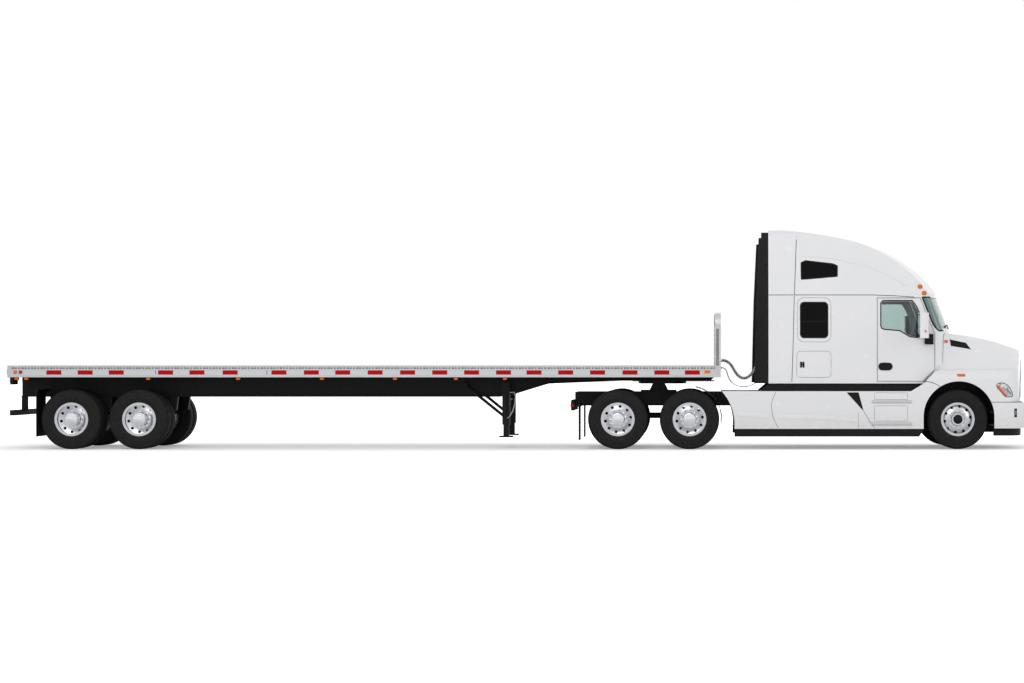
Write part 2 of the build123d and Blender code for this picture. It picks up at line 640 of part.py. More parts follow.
def extenders():
    """Black side panels behind the sleeper, in line with its sides, each on a strip fixed to its back wall."""
    back = CAB_REAR_X - FIT_GAP
    low = outline((CAB_REAR_X - EXTENDER_LENGTH, CAB_BOTTOM_Z), (back, CAB_BOTTOM_Z), (back, 4000),
                  (CAB_REAR_X - 130, 4000), (CAB_REAR_X - 135, 3880), (CAB_REAR_X - 175, 3880), (CAB_REAR_X - 225, 2740))
    sides = skin(25.0, 10.0) - block(4000, 8000, -860, 860, 0, 5000)
    strip = block(CAB_REAR_X - 40, back, 900, CAB_HALF_WIDTH - 30, CAB_BOTTOM_Z, 2800)
    return (sides & across(low, -FAR, FAR)) + both(strip)


def belt():
    """The black belt between the cab and the chassis fairings, on the fairings' top."""
    side = outline((FAIRING_REAR_X + 720, FAIRING_TOP_Z + FIT_GAP), (CAB_FRONT_X - 420, FAIRING_TOP_Z + FIT_GAP),
                   (CAB_FRONT_X - 256, CAB_BOTTOM_Z - 6), (FAIRING_REAR_X + 880, CAB_BOTTOM_Z - 6))
    strip = across(side, CAB_HALF_WIDTH - 130, CAB_HALF_WIDTH - 50)
    return both(strip)


# Inside the cab

STEERING_WHEEL_AT = Vector(6930, 520, 1988)
STEERING_WHEEL_LEAN = Vector(-0.888, 0, 0.459)


def dashboard():
    """The dashboard across the cab, with the steering column standing out of it on the left."""
    face = outline((7000, 1700), (7120, 1620), (7120, CAB_BOTTOM_Z + 70), (7360, CAB_BOTTOM_Z + 70), (7540, 1500),
                   (7540, 2060), (7280, 2110), (7060, 2020))
    reach = CAB_HALF_WIDTH - CAB_WALL - 20
    foot = block(7200, 7320, -300, 300, CAB_BOTTOM_Z + CAB_WALL + FIT_GAP, CAB_BOTTOM_Z + 90)
    column = strut(STEERING_WHEEL_AT - 20 * STEERING_WHEEL_LEAN, STEERING_WHEEL_AT - 200 * STEERING_WHEEL_LEAN, 32.0)
    return across(face, -reach, reach) + column + foot + steering_wheel()


def steering_wheel():
    """The rim of the steering wheel, its boss and one bar of spokes."""
    at = Plane(origin=STEERING_WHEEL_AT, z_dir=STEERING_WHEEL_LEAN)
    boss = strut(STEERING_WHEEL_AT - 20 * STEERING_WHEEL_LEAN, STEERING_WHEEL_AT + 15 * STEERING_WHEEL_LEAN, 60.0)
    return at * Torus(220, 17) + boss + at * Box(30, 425, 16)


def seats():
    """Two seats side by side on pedestals."""
    made = None
    for y in (-520, 520):
        seat = block(6180, 6680, y - 250, y + 250, 1640, 1760)
        seat += across(outline((6120, 1680), (6260, 1680), (6130, 2460), (6010, 2460)), y - 240, y + 240)
        seat += block(6260, 6560, y - 170, y + 170, CAB_BOTTOM_Z + CAB_WALL + FIT_GAP, 1640)
        made = seat if made is None else made + seat
    return made


def bunk():
    reach = CAB_HALF_WIDTH - CAB_WALL - FIT_GAP
    return block(CAB_REAR_X + CAB_WALL + FIT_GAP, CAB_REAR_X + 1000, -reach, reach, 1840, 1990)


# Hood and front

def arch():
    """The round opening over the steered wheels, straight below its middle."""
    low = block(ARCH_CENTRE_X - ARCH_RADIUS, ARCH_CENTRE_X + ARCH_RADIUS, -FAR, FAR, 0, ARCH_CENTRE_Z)
    return low + rod(ARCH_CENTRE_X, -FAR, FAR, ARCH_CENTRE_Z, ARCH_RADIUS)


def below_hood_split(drop):
    """Side outline of everything below the curved gap between the hood and the chassis fairing."""
    return outline((7300, 700), (7800, 700), (7800, 1140 - drop), (7740, 1140 - drop),
                   ((7610, 1218 - drop), (7448, 1252 - drop)), (7300, 1252 - drop))


def hood_side(drop):
    """Side outline of the hood and its fenders."""
    x = HOOD_REAR_X
    f = HOOD_FRONT_X
    return outline((x + drop, 1462), (x + drop, HOOD_REAR_Z - drop), (COWL_FRONT_X, HOOD_REAR_Z - 60 - drop),
                   ((8550, 2020 - drop), (f - 130, HOOD_FRONT_Z + 30 - drop)),
                   ((f - 70 - drop, HOOD_FRONT_Z - 60), (f - 20 - drop, 1550)), (f - drop, HOOD_BOTTOM_Z),
                   (7448 + drop * 1.3, HOOD_BOTTOM_Z), (7448 + drop * 1.3, 1254))


def hood_plan(draw):
    """Plan outline of the hood: flat fenders, rounded front corners and a bowed nose."""
    w = FENDER_HALF_WIDTH - draw
    f = HOOD_FRONT_X - draw
    return outline((7400, -w), (8750, -w), ((9060, -w + 60), (9200 - draw, -w + 330)), ((9290 - draw, -500), (f, 0)),
                   ((9290 - draw, 500), (9200 - draw, w - 330)), ((9060, w - 60), (8750, w)), (7400, w))


def hood_front(draw):
    """Front outline of the hood: fenders at full width below, and a narrower crown above them."""
    w = FENDER_HALF_WIDTH - draw
    crown = 1080.0 - draw
    return outline((-w, 700), (w, 700), (w, 1290), ((w - 45, 1400), (crown - 10, 1480)), (crown - 60, 1950 - draw),
                   ((crown - 130, 2110 - draw), (crown - 300, 2150 - draw)), ((0, HOOD_REAR_Z + 20 - draw), (-crown + 300, 2150 - draw)),
                   ((-crown + 130, 2110 - draw), (-crown + 60, 1950 - draw)), (-crown + 10, 1480),
                   ((-w + 45, 1400), (-w, 1290)))


def hood_solid(draw):
    made = across(hood_side(draw), -FAR, FAR) & upward(hood_plan(draw), 700, 2300)
    return made & along(hood_front(draw), 7300, 9500)


def grille_outline(grow=0.0):
    g = grow
    return outline((-470 - g, 900 - g), (470 + g, 900 - g), (520 + g, 1500), (440 + g, 1700 + g), (-440 - g, 1700 + g),
                   (-520 - g, 1500))


def hood():
    """The tilting hood and fenders as one hollow shell, open below and at the back, with its grille opening."""
    inner = hood_solid(HOOD_WALL)
    inner += Pos(-HOOD_WALL * 2, 0, 0) * inner
    inner += Pos(0, 0, -HOOD_WALL * 2) * inner
    made = hood_solid(0.0) - inner
    made -= arch()
    made -= across(below_hood_split(0.0), -FAR, FAR)
    cowl = offset(cab_plan(), amount=PANEL_GAP, kind=Kind.INTERSECTION)
    made -= upward(cowl, HOOD_NOTCH_Z, HOOD_REAR_Z + 60)
    made -= along(grille_outline(), 8900, 9500)
    made -= across(headlamp_outline(FIT_GAP), -FAR, -500) + across(headlamp_outline(FIT_GAP), 500, FAR)
    made = max(made.solids(), key=lambda solid: solid.volume)
    lugs = block(HOOD_PIVOT_X, HOOD_FRONT_X - 10, 300, 330, HOOD_PIVOT_Z - 12, HOOD_PIVOT_Z + 11)
    return made + both(lugs) + rod(HOOD_PIVOT_X, -330, 330, HOOD_PIVOT_Z, HOOD_PIN_RADIUS)


def grille():
    """The grille: a surround with upright and level bars."""
    slab = along(grille_outline(-FIT_GAP), 8900, 9500) & (hood_solid(0.0) - hood_solid(HOOD_WALL))
    made = slab
    for index in range(8):
        z = 960 + index * 90
        made -= block(8900, 9500, -400, 400, z, z + 58)
    made += slab & block(8900, 9500, -15, 15, 920, 1680)
    return made


def headlamp_outline(grow=0.0):
    g = grow
    return outline((8745 - g, 905 - g), (8985 + g, 905 - g), (9040 + g, 1040), (8900, 1145 + g), (8800 - g, 1130 + g),
                   (8740 - g, 1040))


def headlamps():
    """Lamp units let into the fenders' front corners."""
    lamp = across(headlamp_outline(), -FAR, -500) & (hood_solid(2.0) - hood_solid(HOOD_WALL - 2))
    lamp = max(lamp.solids(), key=lambda solid: solid.volume)
    return both(lamp)


def bumper():
    """The bumper's hollow shell, wrapped round the front corners, on brackets, with the air dam below it."""
    def plan(draw):
        w = FENDER_HALF_WIDTH - draw
        f = HALF_LENGTH - draw
        return outline((BUMPER_REAR_X, -w), (9000, -w), ((9200 - draw, -w + 70), (9300 - draw, -w + 330)),
                       ((9370 - draw, -500), (f, 0)), ((9370 - draw, 500), (9300 - draw, w - 330)),
                       ((9200 - draw, w - 70), (9000, w)), (BUMPER_REAR_X, w))
    shell = upward(plan(0), BUMPER_BOTTOM_Z, BUMPER_TOP_Z)
    shell -= upward(plan(30.0), BUMPER_BOTTOM_Z + 30, BUMPER_TOP_Z + 10)
    shell -= block(BUMPER_REAR_X - 10, 8900, -1100, 1100, 0, 900)
    shell -= arch()
    intake = RectangleRounded(900, 150, 40)
    shell -= along(Pos(0, 560) * intake, HALF_LENGTH - 205, HALF_LENGTH + 95)
    for side in (-1, 1):
        shell -= along(Pos(side * 800, 560) * RectangleRounded(170, 130, 40), HALF_LENGTH - 405, HALF_LENGTH + 95)
    dam = upward(plan(70.0), AIR_DAM_BOTTOM_Z, BUMPER_BOTTOM_Z) - upward(plan(90.0), 0, 2000)
    dam -= block(BUMPER_REAR_X - 10, 8700, -FAR, FAR, 0, 900)
    brackets = both(block(FRAME_FRONT_X - 200, HALF_LENGTH - 55, FRAME_HALF_WIDTH + FIT_GAP, FRAME_HALF_WIDTH + 30,
                          640, BRACKET_TOP_Z))
    crossbar = block(HOOD_PIVOT_X - 90, HOOD_PIVOT_X - 45, -FRAME_HALF_WIDTH - 30, FRAME_HALF_WIDTH + 30,
                     640, HOOD_PIVOT_Z + 16)
    ear = block(HOOD_PIVOT_X - 50, HOOD_PIVOT_X, 240, 270, HOOD_PIVOT_Z - 16, HOOD_PIVOT_Z + 16)
    ear += rod(HOOD_PIVOT_X, 240, 270, HOOD_PIVOT_Z, HOOD_PIN_RADIUS + 10)
    ear -= rod(HOOD_PIVOT_X, 230, 280, HOOD_PIVOT_Z, HOOD_PIN_RADIUS + FIT_GAP)
    return shell + dam + brackets + crossbar + both(ear)


# Chassis fairings

def fairing_side():
    rear = FAIRING_REAR_X
    return outline((rear, FAIRING_TOP_Z), ((rear + 150, 850), (rear + 235, FAIRING_BOTTOM_Z)),
                   (7500, FAIRING_BOTTOM_Z), (7500, 700), (7780, 1000), (7780, 1122), (7738, 1130),
                   ((7608, 1208), (7452, 1240)), (7432, 1232), (7405, 1204), (7180, FAIRING_TOP_Z))


def chassis_fairing(side):
    """A skirt beside the frame with its rubber strip below, two steps and struts to the frame."""
    y = -FAIRING_HALF_WIDTH
    skirt = across(fairing_side(), y, y + FAIRING_WALL) - arch()
    rubber = across(outline((FAIRING_REAR_X + 235, RUBBER_BOTTOM_Z), (7330, RUBBER_BOTTOM_Z), (7425, FAIRING_BOTTOM_Z),
                            (FAIRING_REAR_X + 235, FAIRING_BOTTOM_Z)), y + 14, y + 26)
    made = skirt + rubber
    shelf = block(FAIRING_REAR_X + 60, 7380, y, y + 180, FAIRING_TOP_Z - 18, FAIRING_TOP_Z)
    made += shelf
    for step_z, depth in ((858.0, 62.0), (452.0, 62.0)):
        made += block(6440, 7160, y - 12, y + 150, step_z, step_z + 34)
    for x in (4100.0, 6150.0, 7250.0):
        made += block(x, x + 50, y + FAIRING_WALL, -FRAME_HALF_WIDTH - FIT_GAP, 1000, 1050)
    return made if side < 0 else flipped(made)


# Trailer

def beam_face():
    """Side outline of a main beam: deep along the rear, tapering up to the thin neck at the front."""
    k = KINGPIN_X
    return outline((TRAILER_REAR_X + 40, BEAM_TOP_Z), (TRAILER_REAR_X + 40, BEAM_BOTTOM_Z), (k - 2960, BEAM_BOTTOM_Z),
                   (k - 2744, 1000), (k - 2098, 1198), (k - 692, NECK_BOTTOM_Z), (NOSE_X - 180, NECK_BOTTOM_Z),
                   (NOSE_X - 60, BEAM_TOP_Z))


def flange_run():
    k = KINGPIN_X
    t = BEAM_PLATE
    return outline((TRAILER_REAR_X + 40, BEAM_BOTTOM_Z), (k - 2960, BEAM_BOTTOM_Z), (k - 2744, 1000), (k - 2098, 1198),
                   (k - 692, NECK_BOTTOM_Z), (NOSE_X - 180, NECK_BOTTOM_Z), (NOSE_X - 180, NECK_BOTTOM_Z + t),
                   (k - 692, NECK_BOTTOM_Z + t), (k - 2098, 1198 + t), (k - 2744, 1000 + t),
                   (k - 2960, BEAM_BOTTOM_Z + t), (TRAILER_REAR_X + 40, BEAM_BOTTOM_Z + t))


def trailer_frame():
    """Two deep I-beams, crossmembers through them, the coupler with its kingpin, and the rear guard."""
    half = BEAM_FLANGE_WIDTH / 2
    made = None
    for side in (-1, 1):
        y = side * BEAM_Y
        beam = across(beam_face(), y - BEAM_PLATE / 2, y + BEAM_PLATE / 2)
        beam += across(flange_run(), y - half, y + half)
        beam += block(TRAILER_REAR_X + 40, NOSE_X - 60, y - half, y + half, BEAM_TOP_Z - BEAM_PLATE, BEAM_TOP_Z)
        made = beam if made is None else made + beam
    pitch = (NOSE_X - HEADBOARD_THICKNESS - TRAILER_REAR_X - 140) / (CROSSMEMBERS - 1)
    reach = TRAILER_HALF_WIDTH - SIDE_RAIL_WIDTH - FIT_GAP
    starts = [TRAILER_REAR_X + 60 + index * pitch for index in range(CROSSMEMBERS)]
    made += [block(x, x + 60, -reach, reach, BEAM_TOP_Z - 1, DECK_TOP_Z - DECK_THICKNESS - FIT_GAP) for x in starts]
    coupler = upward(outline((KINGPIN_X - 480, -560), (NOSE_X - 300, -560), (NOSE_X - 120, -380), (NOSE_X - 120, 380),
                             (NOSE_X - 300, 560), (KINGPIN_X - 480, 560)), COUPLER_BOTTOM_Z, COUPLER_BOTTOM_Z + 14)
    made += coupler
    made += Pos(KINGPIN_X, 0, COUPLER_BOTTOM_Z - 35) * Cylinder(25.4, 82)
    guard = rod_like(TRAILER_REAR_X + 50)
    return made + guard


def rod_like(x):
    """The rear guard: a square bar low across the back on two struts from the beams."""
    bar = block(x - 50, x + 50, -1150, 1150, 620, 720)
    struts = both(block(x - 10, x + 90, BEAM_Y - 45, BEAM_Y + 45, 700, BEAM_BOTTOM_Z + 20))
    return bar + struts


def deck():
    return block(TRAILER_REAR_X + 15, NOSE_X - HEADBOARD_THICKNESS - FIT_GAP, -TRAILER_HALF_WIDTH + SIDE_RAIL_WIDTH + FIT_GAP,
                 TRAILER_HALF_WIDTH - SIDE_RAIL_WIDTH - FIT_GAP, DECK_TOP_Z - DECK_THICKNESS, DECK_TOP_Z)


def side_rails():
    """The channel rails along both edges of the deck, with the rear sill between them."""
    y = TRAILER_HALF_WIDTH
    low = DECK_TOP_Z - SIDE_RAIL_DEPTH
    face = outline((y, low), (y, DECK_TOP_Z), (y - SIDE_RAIL_WIDTH, DECK_TOP_Z), (y - SIDE_RAIL_WIDTH, DECK_TOP_Z - 60),
                   (y - 14, DECK_TOP_Z - 60), (y - 14, low + 12), (y - SIDE_RAIL_WIDTH, low + 12), (y - SIDE_RAIL_WIDTH, low))
    rail = along(face, TRAILER_REAR_X, NOSE_X - FIT_GAP)
    sill = block(TRAILER_REAR_X, TRAILER_REAR_X + 14.7, -y + 10, y - 10, DECK_TOP_Z - SIDE_RAIL_DEPTH, DECK_TOP_Z)
    return both(rail) + sill


def headboard():
    """The upright front panel: a frame round a corrugated sheet."""
    w = TRAILER_HALF_WIDTH - SIDE_RAIL_WIDTH - FIT_GAP
    low = BEAM_TOP_Z + FIT_GAP
    face = outline((-w, low), (w, low), (w, HEADBOARD_TOP_Z - 260), ((w - 60, HEADBOARD_TOP_Z - 70), (w - 240, HEADBOARD_TOP_Z)),
                   (-w + 240, HEADBOARD_TOP_Z), ((-w + 60, HEADBOARD_TOP_Z - 70), (-w, HEADBOARD_TOP_Z - 260)))
    x = NOSE_X - HEADBOARD_THICKNESS
    frame = along(face, x, NOSE_X) - along(shrunk(face, 70), x - 5, NOSE_X - 12)
    ribs = None
    count = 12
    for index in range(count):
        y = -w + 150 + index * (2 * w - 300) / (count - 1)
        rib = block(x + 20, NOSE_X - 6, y - 30, y + 30, low + 60, HEADBOARD_TOP_Z - 60)
        ribs = rib if ribs is None else ribs + rib
    return frame + (ribs & along(shrunk(face, 40), x, NOSE_X))


def landing_gear():
    """Two legs under the beams, braced back, with feet and a cross tube."""
    x = KINGPIN_X - 2830
    y = BEAM_Y + BEAM_FLANGE_WIDTH / 2 + 85
    leg = block(x - 70, x + 70, y - 70, y + 70, 440, 1240)
    leg += block(x - 52, x + 52, y - 52, y + 52, 230, 440)
    leg += block(x - 125, x + 125, y - 125, y + 125, 206, 232)
    leg += block(x - 60, x + 60, BEAM_Y + BEAM_PLATE / 2 + FIT_GAP, y - 60, 1080, 1200)
    leg += strut((x - 760, y - 20, 1170), (x, y - 20, 560), 28.0)
    leg += block(x - 800, x - 720, BEAM_Y + BEAM_PLATE / 2 + FIT_GAP, y + 10, 1140, 1210)
    cross = rod(x, -y + 60, y - 60, 900, 25.0)
    crank = rod(x, -y - 150, -y - 60, 1000, 16.0)
    crank += block(x - 30, x + 5, -y - 150, -y - 125, 560, 1010)
    return both(leg) + cross + crank


def trailer_mudflaps():
    x = REAR_TRAILER_AXLE_X - 640
    y = DUAL_TRACK / 2
    flap = block(x, x + 12, y - 300, y + 300, 233, 1050)
    hanger = block(x - 15, x + 27, BEAM_Y + BEAM_PLATE / 2 + FIT_GAP, y + 300, 1050, 1100)
    return both(flap + hanger)


def trailer_lamps():
    """Tail lamp boxes under the rear sill and amber lamps at the rails' ends."""
    made = None
    for y in (960.0, 1120.0):
        lamp = Pos(TRAILER_REAR_X + 45, y, DECK_TOP_Z - SIDE_RAIL_DEPTH - 70) * Box(60, 130, 130)
        made = lamp if made is None else made + lamp
    plate = block(TRAILER_REAR_X + 5, TRAILER_REAR_X + 76, 850, TRAILER_HALF_WIDTH - 15, DECK_TOP_Z - SIDE_RAIL_DEPTH - 5,
                  DECK_TOP_Z - SIDE_RAIL_DEPTH - FIT_GAP)
    side_lamp = block(NOSE_X - 300, NOSE_X - 200, TRAILER_HALF_WIDTH + FIT_GAP, TRAILER_HALF_WIDTH + 12, 1400, 1450)
    return both(made + plate + side_lamp)


# Hoses between cab and trailer

HOSE_RADIUS = 25.0
CABLE_RADIUS = 9.0
HOSE_POINTS = ((NOSE_X + FIT_GAP, -60, 1640), (NOSE_X + 80, -60, 1640), (NOSE_X + 155, -64, 1605),
               (NOSE_X + 215, -68, 1540), (NOSE_X + 265, -73, 1450), (NOSE_X + 325, -80, 1360),
               (NOSE_X + 400, -88, 1305), (NOSE_X + 485, -92, 1300), (NOSE_X + 565, -90, 1350),
               (NOSE_X + 625, -86, 1435), (NOSE_X + 670, -82, 1525), (NOSE_X + 725, -78, 1590),
               (NOSE_X + 800, -75, 1628), (CAB_REAR_X - FIT_GAP, -75, 1628))
CABLE_POINTS = ((NOSE_X + FIT_GAP, 130, 1500), (NOSE_X + 50, 130, 1500), (NOSE_X + 95, 133, 1480),
                (NOSE_X + 125, 137, 1435), (NOSE_X + 145, 145, 1350), (NOSE_X + 185, 154, 1260),
                (NOSE_X + 255, 162, 1185), (NOSE_X + 360, 168, 1145), (NOSE_X + 480, 170, 1135),
                (NOSE_X + 590, 166, 1160), (NOSE_X + 680, 158, 1215), (NOSE_X + 740, 150, 1295),
                (NOSE_X + 780, 145, 1375), (NOSE_X + 815, 142, 1410), (NOSE_X + 845, 141, 1425),
                (CAB_REAR_X - FIT_GAP, 141, 1425))


def tube(points, radius, name):
    """A hose of straight runs joined by arcs as large as the runs allow."""
    radii = []
    runs = [math.dist(a, b) for a, b in zip(points, points[1:])]
    for index in range(1, len(points) - 1):
        into = Vector(*points[index]) - Vector(*points[index - 1])
        out = Vector(*points[index + 1]) - Vector(*points[index])
        turn = math.radians(into.get_angle(out))
        radii.append(0.45 * min(runs[index - 1], runs[index]) / math.tan(turn / 2))
    path = FilletPolyline(*points, radius=radii)
    made = sweep(Plane(origin=points[0], z_dir=path % 0) * Circle(radius), path=path)
    print(name, "radii", [round(value) for value in radii], "length", round(path.length),
          "volume over section by length", round(made.volume / (math.pi * radius * radius * path.length), 4))
    return made


def main():
    os.makedirs("parts", exist_ok=True)
    steer_tyre, steer_rim = steer_wheel()
    twin_tyres, twin_rims = dual_wheel(0.0)
    for side, label in ((-1, "right"), (1, "left")):
        turn = (lambda shape: flipped(shape)) if side < 0 else (lambda shape: shape)
        write(f"steer_tyre_{label}", turn(steer_tyre))
        write(f"steer_rim_{label}", turn(steer_rim))
        write(f"knuckle_{label}", turn(knuckle()))
        for name, x in TWIN_WHEEL_ROWS:
            write(f"{name}_tyres_{label}", Pos(x, 0, 0) * turn(twin_tyres))
            write(f"{name}_rims_{label}", Pos(x, 0, 0) * turn(twin_rims))
        write(f"door_{label}", door(side))
        write(f"door_glass_{label}", door_glass(side))
        write(f"mirror_{label}", mirror_unit(side))
        write(f"luggage_hatch_{label}", hatch(side))
    for name, shape in (
        ("tractor_frame", tractor_frame()), ("front_axle", front_axle()), ("drive_axles", drive_axles()),
        ("engine", engine() + radiator()), ("chassis_fairings", chassis_fairing(-1) + chassis_fairing(1)),
        ("fuel_tanks", fuel_tank(-1) + fuel_tank(1)), ("fifth_wheel", fifth_wheel()), ("mudguards", mudguards()),
        ("cab_shell", cab_shell()), ("roof_fairing", roof_fairing()), ("cab_glass", cab_glass()),
        ("extenders", extenders()), ("cab_belt", belt()), ("dashboard", dashboard()),
        ("seats_and_bunk", seats() + bunk()), ("hood", hood()), ("grille", grille()), ("headlamps", headlamps()),
        ("bumper", bumper()), ("trailer_frame", trailer_frame()), ("deck", deck()), ("side_rails", side_rails()),
        ("headboard", headboard()), ("landing_gear", landing_gear()), ("trailer_axles", trailer_axles()),
        ("trailer_mudflaps", trailer_mudflaps()), ("trailer_lamps", trailer_lamps()),
        ("air_lines", tube(HOSE_POINTS, HOSE_RADIUS, "air_lines")),
        ("power_cable", tube(CABLE_POINTS, CABLE_RADIUS, "power_cable")),
    ):
        write(name, shape)


main()
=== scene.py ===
import math

import bmesh
import bpy
from bpy.props import FloatProperty, FloatVectorProperty, IntProperty, PointerProperty
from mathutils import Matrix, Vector
from mathutils.bvhtree import BVHTree


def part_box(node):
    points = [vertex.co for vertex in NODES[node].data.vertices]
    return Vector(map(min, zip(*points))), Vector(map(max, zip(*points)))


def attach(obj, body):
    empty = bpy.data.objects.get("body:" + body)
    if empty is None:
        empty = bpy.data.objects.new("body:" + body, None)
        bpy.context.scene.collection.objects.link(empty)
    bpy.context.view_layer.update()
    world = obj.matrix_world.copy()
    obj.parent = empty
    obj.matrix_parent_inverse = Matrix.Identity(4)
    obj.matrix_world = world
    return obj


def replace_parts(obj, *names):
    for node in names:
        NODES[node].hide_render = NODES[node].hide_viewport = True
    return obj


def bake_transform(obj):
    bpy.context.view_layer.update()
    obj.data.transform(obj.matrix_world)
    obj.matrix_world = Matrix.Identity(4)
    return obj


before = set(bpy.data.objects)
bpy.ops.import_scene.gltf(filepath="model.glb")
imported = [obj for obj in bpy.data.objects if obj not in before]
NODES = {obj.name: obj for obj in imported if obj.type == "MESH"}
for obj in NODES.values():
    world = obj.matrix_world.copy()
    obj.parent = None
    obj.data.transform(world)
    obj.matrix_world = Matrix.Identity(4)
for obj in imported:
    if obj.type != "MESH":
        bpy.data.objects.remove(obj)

bl_info = {
    "name": "Flatbed lorry",
    "version": (1, 0, 0),
    "blender": (4, 5, 0),
    "location": "3D Viewport > Sidebar > Lorry",
    "description": "Dresses the articulated flatbed lorry: finishes, treads, lamps, trim and hoses",
    "category": "Object",
}

SIDES = (("right", -1), ("left", 1))

# Sizes taken from the frame, in metres
RAIL_LOW, RAIL_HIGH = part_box("side_rails")
CAB_LOW, CAB_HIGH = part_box("cab_shell")
DOOR_LOW, DOOR_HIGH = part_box("door_right")
ROOF_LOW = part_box("roof_fairing")[0]
HOOD_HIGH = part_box("hood")[1]
BUMPER_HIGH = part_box("bumper")[1]
TYRE_LOW, TYRE_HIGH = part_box("steer_tyre_left")
TYRE_RADIUS = (TYRE_HIGH.z - TYRE_LOW.z) / 2
TYRE_WIDTH = TYRE_HIGH.y - TYRE_LOW.y
AXLE_Z = TYRE_RADIUS
RIM_LOW, RIM_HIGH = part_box("steer_rim_left")
RIM_RADIUS = (RIM_HIGH.z - RIM_LOW.z) / 2
TWIN_ROWS = ("front_drive", "rear_drive", "front_trailer", "rear_trailer")
RUBBER_TOP_Z = 0.376
ARCH_X, ARCH_Z = 8.062, 0.600

# Rays that seat a piece start this far to the side and ahead of the lorry
BESIDE = 3.0
AHEAD = 9.8
# How deep a plate's rim goes into the surface under it
LET_IN = 0.002

# The camera that the photograph was taken with
CAMERA_AT = (3.28, -43.2, 1.568)
CAMERA_LENS = 80.3
CAMERA_SHIFT = (-0.1824, 0.022)

# Routes of the hose bundle and of the electric cable, from the headboard to the cab's back wall
HOSE_ROUTE = ((3.6853, -0.060, 1.640), (3.765, -0.060, 1.640), (3.840, -0.064, 1.605), (3.900, -0.068, 1.540),
              (3.950, -0.073, 1.450), (4.010, -0.080, 1.360), (4.085, -0.088, 1.305), (4.170, -0.092, 1.300),
              (4.250, -0.090, 1.350), (4.310, -0.086, 1.435), (4.355, -0.082, 1.525), (4.410, -0.078, 1.590),
              (4.485, -0.075, 1.628), (4.5647, -0.075, 1.628))
CABLE_ROUTE = ((3.6853, 0.130, 1.500), (3.735, 0.130, 1.500), (3.780, 0.133, 1.480), (3.810, 0.137, 1.435),
               (3.830, 0.145, 1.350), (3.870, 0.154, 1.260), (3.940, 0.162, 1.185), (4.045, 0.168, 1.145),
               (4.165, 0.170, 1.135), (4.275, 0.166, 1.160), (4.365, 0.158, 1.215), (4.425, 0.150, 1.295),
               (4.465, 0.145, 1.375), (4.500, 0.142, 1.410), (4.530, 0.141, 1.425), (4.5647, 0.141, 1.425))
HOSE_DIAMETER = 0.050
CABLE_DIAMETER = 0.018

# Sections turned about an axis, as (radius, distance) points
BOLT_HEAD = ((0.0, 0.007), (0.009, 0.006), (0.012, 0.0))
SCREW_HEAD = ((0.0, 0.0012), (0.007, 0.0010), (0.009, 0.0))

# Sockets of a colour Mix node, which share their names with those of its other data types
FACTOR, FIRST, SECOND, MIXED = 0, 6, 7, 2
# Nearly all of a noise lies between these values
NOISE_SPAN = {"From Min": 0.3, "From Max": 0.7}


# Colours and materials

def linear(text):
    """An sRGB hex colour as Blender's linear colour."""
    parts = [int(text[index:index + 2], 16) / 255 for index in (1, 3, 5)]
    return (*(p / 12.92 if p <= 0.04045 else ((p + 0.055) / 1.055) ** 2.4 for p in parts), 1.0)


def wire(tree, node, inputs):
    """Set a node's inputs, each to a value or to the socket that feeds it."""
    for name, value in inputs.items():
        if isinstance(value, bpy.types.NodeSocket):
            tree.links.new(value, node.inputs[name])
        else:
            node.inputs[name].default_value = value


def add(tree, kind, inputs=None, **settings):
    """A node of a kind with its settings and its inputs."""
    made = tree.nodes.new(kind)
    for name, value in settings.items():
        setattr(made, name, value)
    wire(tree, made, inputs or {})
    return made


def bare(name):
    """A material with one Principled shader wired to its output."""
    material = bpy.data.materials.new(name)
    material.use_nodes = True
    return material, material.node_tree, material.node_tree.nodes["Principled BSDF"]


def pattern(tree, size_mm, kind="Noise", output="Fac", stretch=None, **inputs):
    """A texture whose features have a size in millimetres, laid on the object's own coordinates."""
    where = add(tree, "ShaderNodeTexCoord").outputs["Object"]
    if stretch:
        where = add(tree, "ShaderNodeMapping", {"Vector": where, "Scale": stretch}).outputs["Vector"]
    if kind == "Noise":
        inputs = {"Detail": 3.0, **inputs}
    inputs = {"Vector": where, "Scale": 1000.0 / size_mm, **inputs}
    return add(tree, f"ShaderNodeTex{kind}", inputs).outputs[output]


def finished(name, tones, spots, gloss=None, gloss_spots=None, grain=None, depth_mm=0.0, strength=1.0, veil=None,
             inputs=None):
    """A material that drifts between two tones and between two values of roughness, each in its own spots.

    A grain stands up by a depth, and a veil lays a third tone over the others. Each of the four patterns is the
    size of its features in millimetres, a dictionary for pattern, or a function of the node tree."""
    material, tree, shader = bare(name)

    def value(laid):
        if callable(laid):
            return laid(tree)
        return pattern(tree, **(laid if isinstance(laid, dict) else {"size_mm": laid}))

    tones = [linear(tone) if isinstance(tone, str) else tuple(tone) for tone in tones]
    colour = add(tree, "ShaderNodeMix", {FACTOR: value(spots), FIRST: tones[0], SECOND: tones[1]},
                 data_type="RGBA")
    if veil:
        colour = add(tree, "ShaderNodeMix", {FACTOR: value(veil), FIRST: colour.outputs[MIXED], SECOND: tones[2]},
                     data_type="RGBA")
    wire(tree, shader, {"Base Color": colour.outputs[MIXED], **(inputs or {})})
    if gloss:
        rough = add(tree, "ShaderNodeMapRange", {"Value": value(gloss_spots), "To Min": gloss[0], "To Max": gloss[1],
                                                 **NOISE_SPAN})
        wire(tree, shader, {"Roughness": rough.outputs["Result"]})
    if grain:
        bump = add(tree, "ShaderNodeBump", {"Height": value(grain), "Strength": strength,
                                            "Distance": depth_mm / 1000})
        wire(tree, shader, {"Normal": bump.outputs["Normal"]})
    return material


